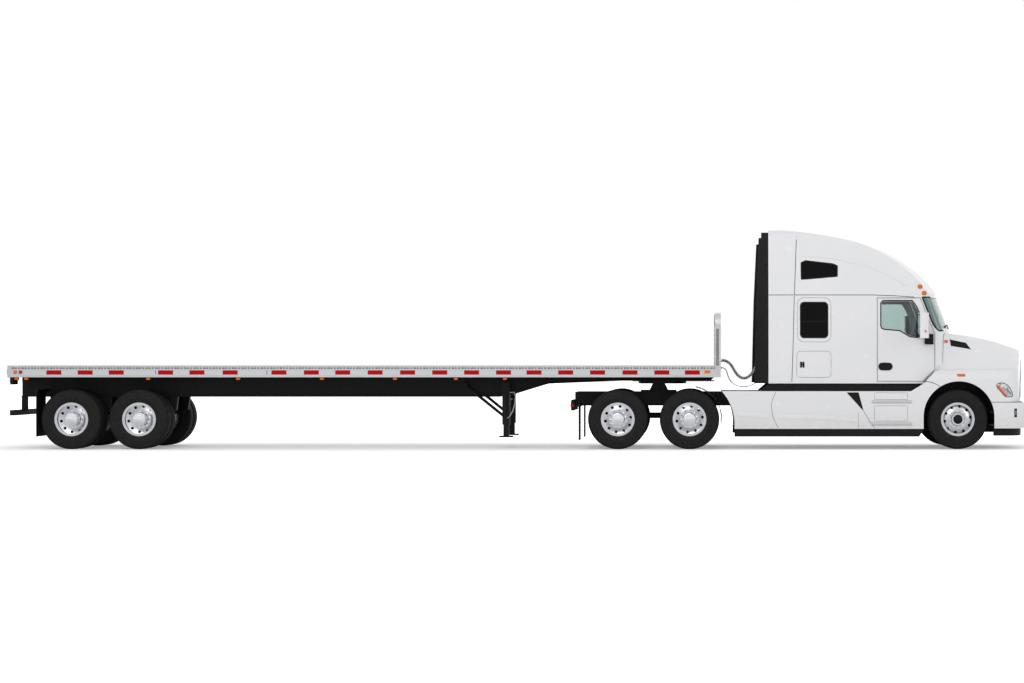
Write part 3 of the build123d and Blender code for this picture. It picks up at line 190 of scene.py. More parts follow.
def low_body_veil(tree):
    """How much of the warm grey veil lies on a place: none above the sill, more towards the bottom, in patches."""
    where = add(tree, "ShaderNodeTexCoord").outputs["Object"]
    height = add(tree, "ShaderNodeSeparateXYZ", {"Vector": where}).outputs["Z"]
    fall = add(tree, "ShaderNodeMapRange", {"Value": height, "From Min": 0.75, "From Max": -0.15})
    return add(tree, "ShaderNodeMath", {0: fall.outputs["Result"], 1: pattern(tree, 90.0, Detail=5.0)},
               operation="MULTIPLY").outputs["Value"]


def white_enamel():
    """Glossy white cab paint: a slight orange peel, and a thin warm grey veil in patches, heavier towards the bottom
    of the body.
    """
    paint = bpy.context.scene.lorry_paint.cab
    return finished("white_enamel", (paint, "#E6E7E9", "#B9B3A8"), 900.0, (0.20, 0.28), 240.0,
                    {"size_mm": 9.0, "Detail": 2.0}, 0.05, veil=low_body_veil,
                    inputs={"Coat Weight": 0.7, "Coat Roughness": 0.05})


def chassis_black():
    """Satin black chassis paint with road dust in random patches."""
    paint = bpy.context.scene.lorry_paint.chassis
    return finished("chassis_black", (paint, "#101113"), 160.0, (0.425, 0.575), 64.0, 3.0, 0.15,
                    inputs={"Specular IOR Level": 0.2})


def black_plastic():
    """Moulded black plastic with a fine leather-like grain."""
    return finished("black_plastic", ("#09090A", "#111113"), 300.0, (0.42, 0.58), 60.0,
                    {"size_mm": 2.2222, "kind": "Voronoi", "output": "Distance"}, 0.12, 0.6,
                    inputs={"Specular IOR Level": 0.2})


def tyre_rubber():
    """Road-worn rubber: near black, greyer with dust in patches, with a faint grain."""
    return finished("tyre_rubber", ("#0D0D0E", "#1B1A19"), {"size_mm": 120.0, "Detail": 6.0}, (0.62, 0.85), 45.0,
                    {"size_mm": 2.5, "Detail": 4.0}, 0.25, inputs={"Specular IOR Level": 0.25})


def polished_aluminium():
    """Polished wheel aluminium with fine wiping marks and a slightly uneven gloss."""
    return finished("polished_aluminium", ("#D6D7DA", "#BFC1C5"), 70.0, (0.16, 0.30),
                    {"size_mm": 30.0, "Detail": 6.0}, 1.5, 0.02, inputs={"Metallic": 1.0})


def chrome():
    """Bright chrome, the mirror gloss of nuts, caps and lamp bowls."""
    return finished("chrome", ("#E8E9EB", "#D2D4D8"), 40.0, (0.068, 0.092), 16.0, 2.0, 0.01,
                    inputs={"Metallic": 1.0})


def mill_aluminium():
    """Mill-finish extruded aluminium: fine die lines along the lorry and dull oxide patches."""
    lines = {"size_mm": 3.0, "stretch": (0.01, 1.0, 1.0)}
    return finished("mill_aluminium", ("#C2C4C6", "#A9ABAE", "#D2D3D5"), {"size_mm": 260.0, "Detail": 5.0},
                    (0.36, 0.52), 110.0, lines, 0.10, veil=lines, inputs={"Metallic": 0.75})


def teal_glass():
    """Clear green-blue window glass, faintly smeared."""
    return finished("teal_glass", ("#CFDEDB", "#C4D5D2"), 200.0, (0.01, 0.05), 80.0,
                    inputs={"Transmission Weight": 1.0, "IOR": 1.45})


def dark_glass():
    """Sleeper windows: almost black privacy glass with a soft shine."""
    return finished("dark_glass", ("#060708", "#0B0C0E"), 300.0, (0.05, 0.12), 120.0,
                    inputs={"Specular IOR Level": 0.06, "Coat Weight": 0.04})


def screen_edge():
    """The windscreen's bent side edge, where the dark cab behind it gives it a deep green-blue tone."""
    return finished("screen_edge", ("#5C7A77", "#496562"), 240.0, (0.068, 0.092), 96.0, 30.0, 0.01,
                    inputs={"Coat Weight": 1.0})


def lens(name, tones):
    """A lamp lens of coloured plastic with fine upright flutes inside."""
    return finished(name, tones, 12.0, (0.08, 0.18), 20.0, {"size_mm": 16.6667, "kind": "Wave"}, 0.4, 0.5,
                    inputs={"Specular IOR Level": 0.25, "Coat Weight": 0.25, "Emission Color": linear(tones[0]),
                            "Emission Strength": 0.12})


def clear_lens():
    """The headlamp's clear cover, bright with the reflector seen through it."""
    return finished("clear_lens", ("#F1F4F6", "#6F787E"),
                    {"size_mm": 45.4545, "kind": "Voronoi", "output": "Distance"}, (0.04, 0.10), 30.0,
                    inputs={"Metallic": 0.65, "Coat Weight": 1.0})


def tape(name, tones):
    """Reflective tape: a small honeycomb under its clear face."""
    return finished(name, tones, {"size_mm": 4.16667, "kind": "Voronoi", "output": "Distance"}, (0.35, 0.50), 60.0,
                    inputs={"Specular IOR Level": 0.15})


def deck_wood():
    """Worn hardwood deck boards laid along the lorry, each a little different, with dark joints."""
    material, tree, shader = bare("deck_wood")
    where = add(tree, "ShaderNodeTexCoord").outputs["Object"]
    boards = add(tree, "ShaderNodeTexBrick", {
        "Vector": where, "Scale": 1.0, "Color1": linear("#6B5B4A"), "Color2": linear("#54483C"),
        "Mortar": linear("#1B1917"), "Mortar Size": 0.004, "Brick Width": 3.6, "Row Height": 0.14}, offset=0.37)
    grain = pattern(tree, 14.0, stretch=(0.04, 1.0, 1.0), Detail=6.0)
    worn = add(tree, "ShaderNodeMix", {FACTOR: grain, FIRST: boards.outputs["Color"], SECOND: linear("#7D7366")},
               data_type="RGBA")
    rough = add(tree, "ShaderNodeMapRange", {"Value": grain, "To Min": 0.65, "To Max": 0.9, **NOISE_SPAN})
    height = add(tree, "ShaderNodeMath", {0: grain, 1: boards.outputs["Fac"]}, operation="SUBTRACT")
    bump = add(tree, "ShaderNodeBump", {"Height": height.outputs["Value"], "Strength": 1.0, "Distance": 0.0015})
    wire(tree, shader, {"Base Color": worn.outputs[MIXED], "Roughness": rough.outputs["Result"],
                        "Normal": bump.outputs["Normal"]})
    return material


def seat_cloth():
    """Dark woven seat cloth, its threads about two millimetres apart."""
    return finished("seat_cloth", ("#2B2C30", "#3A3B40"), 40.0, grain={"size_mm": 2.0, "kind": "Checker"},
                    depth_mm=0.5, inputs={"Roughness": 0.9, "Sheen Weight": 0.4})


def cast_iron():
    """Grey cast metal of the engine and gearbox, rough and oily in patches."""
    return finished("cast_iron", ("#3C3E40", "#2A2B2C"), 90.0, (0.51, 0.69), 36.0, 5.0, 0.5,
                    inputs={"Metallic": 0.4})


def hose_plastic(name, tones):
    """Air hose plastic, slightly matt and scuffed."""
    return finished(name, tones, 35.0, (0.357, 0.483), 14.0, 2.0, 0.05)


def floor_paint():
    """White studio floor, hardly mottled, lit up away from the lorry so that no horizon shows."""
    def glow(tree):
        """How much of its own light the floor shows the camera: least under the lorry, all of it far off."""
        where = add(tree, "ShaderNodeTexCoord").outputs["Object"]
        split = add(tree, "ShaderNodeSeparateXYZ", {"Vector": where})
        beside, along = (add(tree, "ShaderNodeMath", {0: split.outputs[axis]}, operation="ABSOLUTE").outputs[0]
                         for axis in "YX")
        beyond = add(tree, "ShaderNodeMath", {0: along, 1: 8.2}, operation="SUBTRACT").outputs[0]
        away = add(tree, "ShaderNodeMath", {0: beside, 1: beyond}, operation="MAXIMUM").outputs[0]
        rise = add(tree, "ShaderNodeMapRange", {"Value": away, "From Min": 1.4, "From Max": 7.0, "To Min": 0.28,
                                                "To Max": 1.0})
        seen = add(tree, "ShaderNodeLightPath").outputs["Is Camera Ray"]
        return add(tree, "ShaderNodeMath", {0: rise.outputs["Result"], 1: seen}, operation="MULTIPLY").outputs[0]

    material = finished("studio_floor", ("#FBFBFB", "#F8F8F9"), 2500.0, inputs={
        "Emission Color": (1.0, 1.0, 1.0, 1.0), "Roughness": 0.85, "Specular IOR Level": 0.2})
    tree = material.node_tree
    wire(tree, tree.nodes["Principled BSDF"], {"Emission Strength": glow(tree)})
    return material


# Each finish: the slot of the record that it belongs to, and what makes its material
MAKERS = {
    "white": ("white_enamel", white_enamel),
    "black": ("chassis_black", chassis_black),
    "plastic": ("black_plastic", black_plastic),
    "iron": ("black_plastic", cast_iron),
    "tyre": ("tyre_rubber", tyre_rubber),
    "polished": ("polished_aluminium", polished_aluminium),
    "chrome": ("polished_aluminium", chrome),
    "mill": ("brushed_aluminium", mill_aluminium),
    "teal": ("tinted_glass", teal_glass),
    "dark": ("tinted_glass", dark_glass),
    "screen": ("tinted_glass", screen_edge),
    "clear": ("lamp_lens", clear_lens),
    "amber": ("lamp_lens", lambda: lens("amber_lens", ("#D85C00", "#E06A04"))),
    "red": ("red_lens", lambda: lens("red_lens", ("#A80C10", "#C4161A"))),
    "red_tape": ("red_lens", lambda: tape("red_tape", (bpy.context.scene.lorry_tape.colour, "#A00208"))),
    "white_tape": ("red_lens", lambda: tape("white_tape", ("#DADCDE", "#C4C7CA"))),
    "cloth": ("seat_fabric", seat_cloth),
    "deck": ("deck_boards", deck_wood),
    "hose_grey": ("hose_rubber", lambda: hose_plastic("hose_grey", ("#DADCDD", "#C6C9CB"))),
    "hose_red": ("hose_rubber", lambda: hose_plastic("hose_red", ("#B81C1E", "#9A1416"))),
    "hose_green": ("hose_rubber", lambda: hose_plastic("hose_green", ("#5F8F74", "#4C7A61"))),
}
made_materials = {}


def finish(key):
    """The material of a finish, made once."""
    if key not in made_materials:
        made_materials[key] = MAKERS[key][1]()
    return made_materials[key]


# Mesh helpers

def piece(name, mesh_maker, keys, body=None, smooth=35.0, bevel=0.0):
    """A new object from a function that fills a bmesh."""
    bm = bmesh.new()
    mesh_maker(bm)
    bmesh.ops.recalc_face_normals(bm, faces=bm.faces)
    mesh = bpy.data.meshes.new(name)
    bm.to_mesh(mesh)
    bm.free()
    for key in keys:
        mesh.materials.append(finish(key))
    mesh.polygons.foreach_set("use_smooth", [True] * len(mesh.polygons))
    mesh.set_sharp_from_angle(angle=math.radians(smooth))
    made = bpy.data.objects.new(name, mesh)
    bpy.context.scene.collection.objects.link(made)
    if bevel:
        edge = made.modifiers.new("soft edges", "BEVEL")
        edge.width = bevel
        edge.segments = 2
        edge.limit_method = "ANGLE"
    if body:
        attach(made, body)
    return made


def band(bm, near, far, material=0, closed=True):
    """Faces between two rings, or two rows, of as many corners."""
    count = len(near)
    for index in range(count if closed else count - 1):
        after = (index + 1) % count
        bm.faces.new((near[index], near[after], far[after], far[index])).material_index = material


def box(bm, low, high, material=0):
    """A rectangular block between two corners."""
    low, high = [min(a, b) for a, b in zip(low, high)], [max(a, b) for a, b in zip(low, high)]
    corners = [bm.verts.new((x, y, z)) for x in (low[0], high[0]) for y in (low[1], high[1])
               for z in (low[2], high[2])]
    for face in ((0, 1, 3, 2), (4, 6, 7, 5), (0, 4, 5, 1), (2, 3, 7, 6), (0, 2, 6, 4), (1, 5, 7, 3)):
        bm.faces.new([corners[index] for index in face]).material_index = material


def prism(bm, points, low, high, axis="y", material=0):
    """An outline pushed along an axis; its points are in the other two directions, in order."""
    place = {"x": lambda a, b, c: (c, a, b), "y": lambda a, b, c: (a, c, b)}[axis]
    near = [bm.verts.new(place(a, b, low)) for a, b in points]
    far = [bm.verts.new(place(a, b, high)) for a, b in points]
    bm.faces.new(near).material_index = material
    bm.faces.new(list(reversed(far))).material_index = material
    band(bm, near, far, material)


def turned(bm, profile, centre, axis, steps=48, material=0, depths=None, angles=None):
    """A ring of faces from (radius, distance) points turned about an axis.

    angles are (angle, kind) pairs, and depths give the points of a kind that are cut in, with how deep."""
    axis = Vector(axis).normalized()
    side = axis.orthogonal().normalized()
    up = axis.cross(side)
    angles = angles or [(2 * math.pi * index / steps, 0) for index in range(steps)]
    rings = []
    for angle, kind in angles:
        out = side * math.cos(angle) + up * math.sin(angle)
        cut = (depths or {}).get(kind, {})
        rings.append([bm.verts.new(Vector(centre) + axis * along + out * max(radius - cut.get(index, 0.0), 1e-5))
                      for index, (radius, along) in enumerate(profile)])
    closed = profile[0] == profile[-1]
    for index, ring in enumerate(rings):
        after = rings[(index + 1) % len(rings)]
        for at in range(len(profile) - 1):
            ahead = 0 if closed and at == len(profile) - 2 else at + 1
            bm.faces.new((ring[at], after[at], after[ahead], ring[ahead])).material_index = material
    bmesh.ops.remove_doubles(bm, verts=[v for ring in rings for v in ring], dist=5e-5)


def frames_along(path):
    """A direction and two cross directions at each point of a path, turned as little as possible."""
    path = [Vector(p) for p in path]
    last = len(path) - 1
    ways = [(path[min(index + 1, last)] - path[max(index - 1, 0)]).normalized() for index in range(len(path))]
    side = ways[0].orthogonal().normalized()
    rows = []
    for way in ways:
        side = (side - way * side.dot(way)).normalized()
        rows.append((way, side, way.cross(side)))
    return rows


def tube(bm, path, radius, sides=12, material=0):
    """A round closed tube along a path."""
    turns = [2 * math.pi * step / sides for step in range(sides)]
    rings = [[bm.verts.new(Vector(point) + (side * math.cos(t) + up * math.sin(t)) * radius) for t in turns]
             for point, (_, side, up) in zip(path, frames_along(path))]
    for ring, after in zip(rings, rings[1:]):
        band(bm, ring, after, material)
    bm.faces.new(list(reversed(rings[0]))).material_index = material
    bm.faces.new(rings[-1]).material_index = material


def nut(bm, centre, axis, radius, height):
    """A six-sided nut with a round collar under it and a domed end."""
    flat, collar = radius * 0.86, radius * 1.25
    turned(bm, [(0.0, height), (radius * 0.55, height), (flat, height * 0.8), (flat, height * 0.25),
                (collar, height * 0.18), (collar, 0.0)], centre, axis, 6)


def rounded(x_low, x_high, z_low, z_high, radius, steps=6):
    """Points of a rectangle with round corners."""
    points = []
    for cx, cz, start in ((x_high - radius, z_high - radius, 0), (x_low + radius, z_high - radius, 90),
                          (x_low + radius, z_low + radius, 180), (x_high - radius, z_low + radius, 270)):
        for step in range(steps + 1):
            angle = math.radians(start + 90 * step / steps)
            points.append((cx + radius * math.cos(angle), cz + radius * math.sin(angle)))
    return points


def dense(points, step, closed=False):
    """The same outline with more points, no further apart than a step."""
    rows = []
    pairs = list(zip(points, points[1:])) + ([(points[-1], points[0])] if closed else [])
    for start, end in pairs:
        parts = max(1, math.ceil(math.dist(start, end) / step))
        for part in range(parts):
            rows.append(tuple(a + (b - a) * part / parts for a, b in zip(start, end)))
    return rows if closed else rows + [points[-1]]


def surface(*names):
    """Surfaces of CAD nodes, to seat a piece on."""
    return [BVHTree.FromObject(NODES[name], bpy.context.evaluated_depsgraph_get()) for name in names]


def hit(trees, start, way):
    """The first point and outward normal that a ray from start meets on some surfaces."""
    way = Vector(way).normalized()
    found = [tree.ray_cast(Vector(start), way) for tree in trees]
    found = [row for row in found if row[0] is not None]
    if not found:
        raise ValueError(f"no surface from {tuple(start)} along {tuple(way)}")
    point, normal, _, _ = min(found, key=lambda row: row[3])
    return point, (normal if normal.dot(way) < 0 else -normal)


def side_seat(trees, x, z, side):
    """The point and normal of the lorry's side at a length and a height."""
    return hit(trees, (x, side * BESIDE, z), (0, -side, 0))


def front_seat(trees, y, z):
    """The point and normal of the lorry's front at a width and a height."""
    return hit(trees, (AHEAD, y, z), (-1, 0, 0))


def ribbon(bm, seats, width, height, material=0, closed=False, crown=0.0):
    """A low strip along (point, normal) seats, with sloping edges and an optional crowned middle."""
    shape = ((-0.5, -0.3), (-0.42, 0.85), (-0.2, 1.0 + crown), (0.2, 1.0 + crown), (0.42, 0.85), (0.5, -0.3))
    rows = []
    count = len(seats)
    for index, (point, normal) in enumerate(seats):
        before = seats[(index - 1) % count if closed else max(index - 1, 0)][0]
        after = seats[(index + 1) % count if closed else min(index + 1, count - 1)][0]
        across = normal.cross((after - before).normalized()).normalized()
        rows.append([bm.verts.new(point + across * (a * width) + normal * (b * height)) for a, b in shape])
    for row, after in list(zip(rows, rows[1:])) + ([(rows[-1], rows[0])] if closed else []):
        band(bm, row, after, material)
    if not closed:
        bm.faces.new(rows[0]).material_index = material
        bm.faces.new(list(reversed(rows[-1]))).material_index = material


def side_strip(bm, trees, outline, side, width, height, material=0, closed=False, crown=0.0):
    """A strip laid on the lorry's side along (x, z) points."""
    ribbon(bm, [side_seat(trees, x, z, side) for x, z in outline], width, height, material, closed, crown)


def lifted(bm, seats, height):
    """Corners at a height over (point, normal) seats."""
    return [bm.verts.new(point + normal * height) for point, normal in seats]


def side_plate(bm, trees, outline, side, height, material=0):
    """A thin plate on the lorry's side that follows the surface under its outline."""
    seats = [side_seat(trees, x, z, side) for x, z in outline]
    top, low = lifted(bm, seats, height), lifted(bm, seats, -LET_IN)
    bm.faces.new(top).material_index = material
    bm.faces.new(list(reversed(low))).material_index = material
    band(bm, top, low, material)


def skin(bm, rows, height, material=0):
    """A thin plate over a grid of (point, normal) seats, its top at a height and its rim let into the surface."""
    top, low = ([lifted(bm, row, up) for row in rows] for up in (height, -LET_IN))
    for layer in (top, low):
        for row, after in zip(layer, layer[1:]):
            band(bm, row, after, material, closed=False)
    rims = [layer[0] + [row[-1] for row in layer[1:-1]] + layer[-1][::-1] + [row[0] for row in layer[-2:0:-1]]
            for layer in (top, low)]
    band(bm, *rims, material)


def grid_plate(bm, trees, corners, side, height, columns=14, lines=6):
    """A plate with four corners that follows the curved side of the lorry."""
    rows = []
    for line in range(lines + 1):
        down = line / lines
        row = []
        for column in range(columns + 1):
            on = column / columns
            x, z = (corners[0][i] * (1 - on) * (1 - down) + corners[1][i] * on * (1 - down)
                    + corners[2][i] * on * down + corners[3][i] * (1 - on) * down for i in (0, 1))
            row.append(side_seat(trees, x, z, side))
        rows.append(row)
    skin(bm, rows, height)


def side_patch(bm, trees, outline, side, height, material=0, crown=0.0, rings=4):
    """A closed pad over an outline on the curved side of the lorry, higher in its middle by its crown."""
    mid_x, mid_z = (sum(values) / len(outline) for values in zip(*outline))
    layers = []
    for ring in range(1, rings + 1):
        share = ring / rings
        seats = [side_seat(trees, mid_x + (x - mid_x) * share, mid_z + (z - mid_z) * share, side)
                 for x, z in outline]
        layers.append(lifted(bm, seats, height + crown * (1 - share ** 2)))
    layers.append(lifted(bm, seats, -LET_IN))
    top = lifted(bm, [side_seat(trees, mid_x, mid_z, side)], height + crown)[0]
    for index in range(len(outline)):
        after = (index + 1) % len(outline)
        bm.faces.new((top, layers[0][index], layers[0][after])).material_index = material
    for inner, outer in zip(layers, layers[1:]):
        band(bm, inner, outer, material)
    bm.faces.new(layers[-1]).material_index = material


def dress(node, *keys, choose=None):
    """Give a CAD node its materials; choose tells from a face's middle and normal which one it takes."""
    mesh = NODES[node].data
    mesh.materials.clear()
    for key in keys:
        mesh.materials.append(finish(key))
    for face in mesh.polygons:
        face.material_index = choose(face.center, face.normal) if choose else 0


# Settings that a user would change

class StageSettings(bpy.types.PropertyGroup):
    key_power: FloatProperty(name="Key light", description="Power of the large key light", default=1000.0,
                             subtype="POWER")
    fill_power: FloatProperty(name="Fill light", description="Power of the lights in front and behind",
                              default=380.0, subtype="POWER")
    sky: FloatProperty(name="Sky", description="Strength of the even studio light from all round", default=0.62)


class PaintSettings(bpy.types.PropertyGroup):
    cab: FloatVectorProperty(name="Cab paint", description="Colour of the cab's enamel", default=linear("#ECECEE"),
                             size=4, min=0.0, max=1.0, subtype="COLOR")
    chassis: FloatVectorProperty(name="Chassis paint", description="Colour of the frames' and axles' paint",
                                 default=linear("#08090A"), size=4, min=0.0, max=1.0, subtype="COLOR")


class TyreSettings(bpy.types.PropertyGroup):
    groove_depth: FloatProperty(name="Groove depth", description="Depth of the tread's grooves", default=0.014,
                                subtype="DISTANCE")
    lug_count: IntProperty(name="Cross grooves", description="Cross grooves round the tread's shoulders",
                           default=46)


class TapeSettings(bpy.types.PropertyGroup):
    colour: FloatVectorProperty(name="Red tape", description="Colour of the red blocks of tape",
                                default=linear("#BE040C"), size=4, min=0.0, max=1.0, subtype="COLOR")
    block: FloatProperty(name="Red block", description="Length of a red block of tape", default=0.275,
                         subtype="DISTANCE")
    low: FloatProperty(name="Lower edge", description="Height of the tape's lower edge", default=1.373,
                       subtype="DISTANCE")
    high: FloatProperty(name="Upper edge", description="Height of the tape's upper edge", default=1.453,
                        subtype="DISTANCE")


class SeamSettings(bpy.types.PropertyGroup):
    width: FloatProperty(name="Seam width", description="Width of a panel seam", default=0.008, subtype="DISTANCE")
    gasket: FloatProperty(name="Gasket width", description="Width of a window's rubber gasket", default=0.024,
                          subtype="DISTANCE")


class Stage(bpy.types.Operator):
    """Make the floor, the white backdrop, the soft lights and the camera"""
    bl_idname = "lorry.stage"
    bl_label = "Stage"

    def execute(self, context):
        settings = context.scene.lorry_stage
        self.floor()
        self.world(settings.sky)
        self.light("key", (-4.0, -15.0, 12.0), 16.0, 9.0, settings.key_power)
        self.light("front_fill", (19.0, -9.0, 7.0), 9.0, 7.0, settings.fill_power)
        self.light("back_rim", (-2.0, 15.0, 11.0), 18.0, 6.0, settings.fill_power)
        data = bpy.data.cameras.new("camera")
        data.sensor_width = 36.0
        data.lens = CAMERA_LENS
        data.shift_x, data.shift_y = CAMERA_SHIFT
        data.clip_start, data.clip_end = 0.5, 500.0
        camera = bpy.data.objects.new("camera", data)
        camera.location = CAMERA_AT
        camera.rotation_euler = (math.radians(90), 0, 0)
        context.scene.collection.objects.link(camera)
        context.scene.camera = camera
        context.scene.view_settings.view_transform = "Standard"
        return {"FINISHED"}

    def floor(self):
        """A wide flat floor just under the wheels."""
        far = 150
        corners = ((-far, -far, 0), (far, -far, 0), (far, far, 0), (-far, far, 0))

        def sheet(bm):
            bm.faces.new([bm.verts.new(corner) for corner in corners])
        made = piece("floor", sheet, ())
        made.location.z = -0.001
        made.data.materials.append(floor_paint())

    def world(self, strength):
        """Even light from all round, with plain white behind the lorry and in its glass."""
        world = bpy.data.worlds.new("studio")
        world.use_nodes = True
        tree = world.node_tree
        tree.nodes.clear()
        path = add(tree, "ShaderNodeLightPath")
        seen = path.outputs["Is Camera Ray"]
        for name in ("Is Glossy Ray", "Is Transmission Ray"):
            seen = add(tree, "ShaderNodeMath", {0: seen, 1: path.outputs[name]}, operation="MAXIMUM").outputs[0]
        light = add(tree, "ShaderNodeBackground", {"Color": linear("#FAFAFB"), "Strength": strength})
        white = add(tree, "ShaderNodeBackground", {"Color": linear("#FFFFFF"), "Strength": 1.0})
        both = add(tree, "ShaderNodeMixShader", {0: seen, 1: light.outputs[0], 2: white.outputs[0]})
        out = add(tree, "ShaderNodeOutputWorld", {"Surface": both.outputs[0]})
        out.is_active_output = True
        bpy.context.scene.world = world

    def light(self, name, at, width, height, power):
        """A soft rectangular light that faces the lorry's middle."""
        data = bpy.data.lights.new(name, "AREA")
        data.shape = "RECTANGLE"
        data.size, data.size_y = width, height
        data.energy = power
        made = bpy.data.objects.new(name, data)
        made.location = at
        made.rotation_euler = (Vector((0.0, 0.0, 1.4)) - Vector(at)).to_track_quat("-Z", "Y").to_euler()
        bpy.context.scene.collection.objects.link(made)


def route_points(name, route):
    """Points along a cord's smooth centreline, read from its NURBS spline."""
    data = bpy.data.curves.new(name, "CURVE")
    data.dimensions = "3D"
    data.resolution_u = 10
    spline = data.splines.new("NURBS")
    spline.points.add(len(route) - 1)
    for point, at in zip(spline.points, route):
        point.co = (*at, 1.0)
    spline.order_u = 3
    spline.use_endpoint_u = True
    holder = bpy.data.objects.new(name, data)
    bpy.context.scene.collection.objects.link(holder)
    bpy.context.view_layer.update()
    mesh = bpy.data.meshes.new_from_object(holder)
    points = [v.co.copy() for v in mesh.vertices]
    bpy.data.objects.remove(holder)
    bpy.data.meshes.remove(mesh)
    return points


def wound(path, radius, turns_per_metre, start):
    """Points that wind round a path like a coil's wire."""
    rows = frames_along(path)
    points = []
    run = 0.0
    for index in range(len(path) - 1):
        gap = (path[index + 1] - path[index]).length
        parts = max(2, math.ceil(gap * turns_per_metre * 10))
        for part in range(parts):
            share = part / parts
            turn = 2 * math.pi * turns_per_metre * (run + gap * share) + start
            side = rows[index][1].lerp(rows[index + 1][1], share).normalized()
            up = rows[index][2].lerp(rows[index + 1][2], share).normalized()
            points.append(path[index].lerp(path[index + 1], share)
                          + (side * math.cos(turn) + up * math.sin(turn)) * radius)
        run += gap
    return points


class Hoses(bpy.types.Operator):
    """Make the wrapped bundle of air lines and the electric cable between the trailer and the cab"""
    bl_idname = "lorry.hoses"
    bl_label = "Hoses and cable"

    start = (3.925, -0.06, 1.4)
    end = (4.560, -0.06, 1.4)
    core_radius = HOSE_DIAMETER / 2 - 0.0010
    strand_circle = HOSE_DIAMETER / 2 - 0.0020
    strand_radius = 0.0045
    turns_per_metre = 22.0

    def execute(self, context):
        path = route_points("hose_route", HOSE_ROUTE)

        def bundle(bm):
            tube(bm, path, self.core_radius, 16)
            for colour, first_angle in ((1, 0.0), (2, 2.1), (0, 4.2)):
                strand = wound(path, self.strand_circle, self.turns_per_metre, first_angle)
                tube(bm, strand, self.strand_radius, 6, colour)
        made = piece("air_line_bundle", bundle, ("hose_grey", "hose_red", "hose_green"), smooth=60.0)
        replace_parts(made, "air_lines")
        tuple(self.start)
        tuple(self.end)
        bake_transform(made)
        cable_path = route_points("cable_route", CABLE_ROUTE)
        cable = piece("electric_cable", lambda bm: tube(bm, cable_path, CABLE_DIAMETER / 2), ("hose_grey",),
                      smooth=60.0)
        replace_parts(cable, "power_cable")
        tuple(self.start)
        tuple(self.end)
        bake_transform(cable)
        for route, radius in ((HOSE_ROUTE, 0.034), (CABLE_ROUTE, 0.020)):
            for body, end, inner in (("trailer", 0, 1), ("tractor", -1, -2)):
                self.gland(route, end, inner, radius, body)
        return {"FINISHED"}

    def gland(self, route, end, inner, radius, body):
        """The socket that a line's end goes into, facing the route's next point inwards."""
        at = Vector(route[end])
        way = (Vector(route[inner]) - at).normalized()
        name = f"gland_{body}_{'bundle' if route is HOSE_ROUTE else 'cable'}"
        profile = [(0.0, 0.034), (radius * 0.8, 0.034), (radius, 0.028), (radius, 0.008), (radius * 1.35, 0.006),
                   (radius * 1.35, 0.0), (0.0, 0.0)]
        piece(name, lambda bm: turned(bm, profile, at, way, 24), ("chrome",), body)


def outside_of(centre_z):
    """Tells a shell's outer faces (0) from its inner ones (1) by where they face."""
    def choose(at, normal):
        out = Vector((0.0, at.y, (at.z - centre_z) * 0.8))
        inward = normal.y * (1 if at.y > 0 else -1) < -0.5 or normal.z < -0.6 or normal.x < -0.6
        return 1 if inward or normal.dot(out) < -0.05 else 0
    return choose


class Finishes(bpy.types.Operator):
    """Give every CAD piece that stays in sight its finish"""
    bl_idname = "lorry.finishes"
    bl_label = "Finishes"

    # Where a casting, moulding or pane changes its finish
    sleeper_glass_to_x = 6.2
    mirror_arm_to_y, mirror_foot_z = 1.30, 2.06
    bumper_lip_z = 0.384
    intake_from_x, intake_to_y = 9.2, 0.5
    hood_middle_z = 1.2
    plain = {
        "black": ("tractor_frame", "front_axle", "drive_axles", "fifth_wheel", "trailer_frame", "landing_gear",
                  "trailer_axles", "knuckle_right", "knuckle_left"),
        "plastic": ("extenders", "cab_belt", "dashboard", "mudguards", "trailer_mudflaps", "grille"),
        "white": ("cab_shell", "roof_fairing", "luggage_hatch_right", "luggage_hatch_left"),
        "mill": ("side_rails", "headboard", "fuel_tanks"),
        "teal": ("door_glass_right", "door_glass_left"),
        "iron": ("engine",),
        "deck": ("deck",),
    }

    def execute(self, context):
        for key, nodes in self.plain.items():
            for node in nodes:
                dress(node, key)
        for side, _ in SIDES:
            for row in [f"steer_rim_{side}"] + [f"{row}_rims_{side}" for row in TWIN_ROWS]:
                dress(row, "polished")
            dress(f"door_{side}", "white", "plastic", choose=lambda at, n: int(abs(at.y) > CAB_HIGH.y + 0.0005))
            dress(f"mirror_{side}", "white", "plastic",
                  choose=lambda at, n: int(abs(at.y) < self.mirror_arm_to_y or at.z < self.mirror_foot_z))
        dress("cab_glass", "teal", "dark", choose=lambda at, n: int(at.x < self.sleeper_glass_to_x))
        dress("chassis_fairings", "white", "plastic", choose=lambda at, n: int(at.z < RUBBER_TOP_Z - 0.005))
        dress("trailer_lamps", "black", "red", "amber", choose=lambda at, n: 2 if at.x > 0 else int(n.x < -0.5))
        dress("hood", "white", "plastic", choose=outside_of(self.hood_middle_z))
        dress("bumper", "white", "plastic", choose=self.bumper_black)
        dress("headlamps", "clear")
        return {"FINISHED"}

    def bumper_black(self, at, normal):
        """The bumper's lip, its back, its middle intake and its inner faces are bare black plastic."""
        inward = normal.y * (1 if at.y > 0 else -1) < -0.3
        intake = at.x < self.intake_from_x and abs(at.y) < self.intake_to_y
        return int(at.z < self.bumper_lip_z or normal.x < -0.5 or intake or inward)


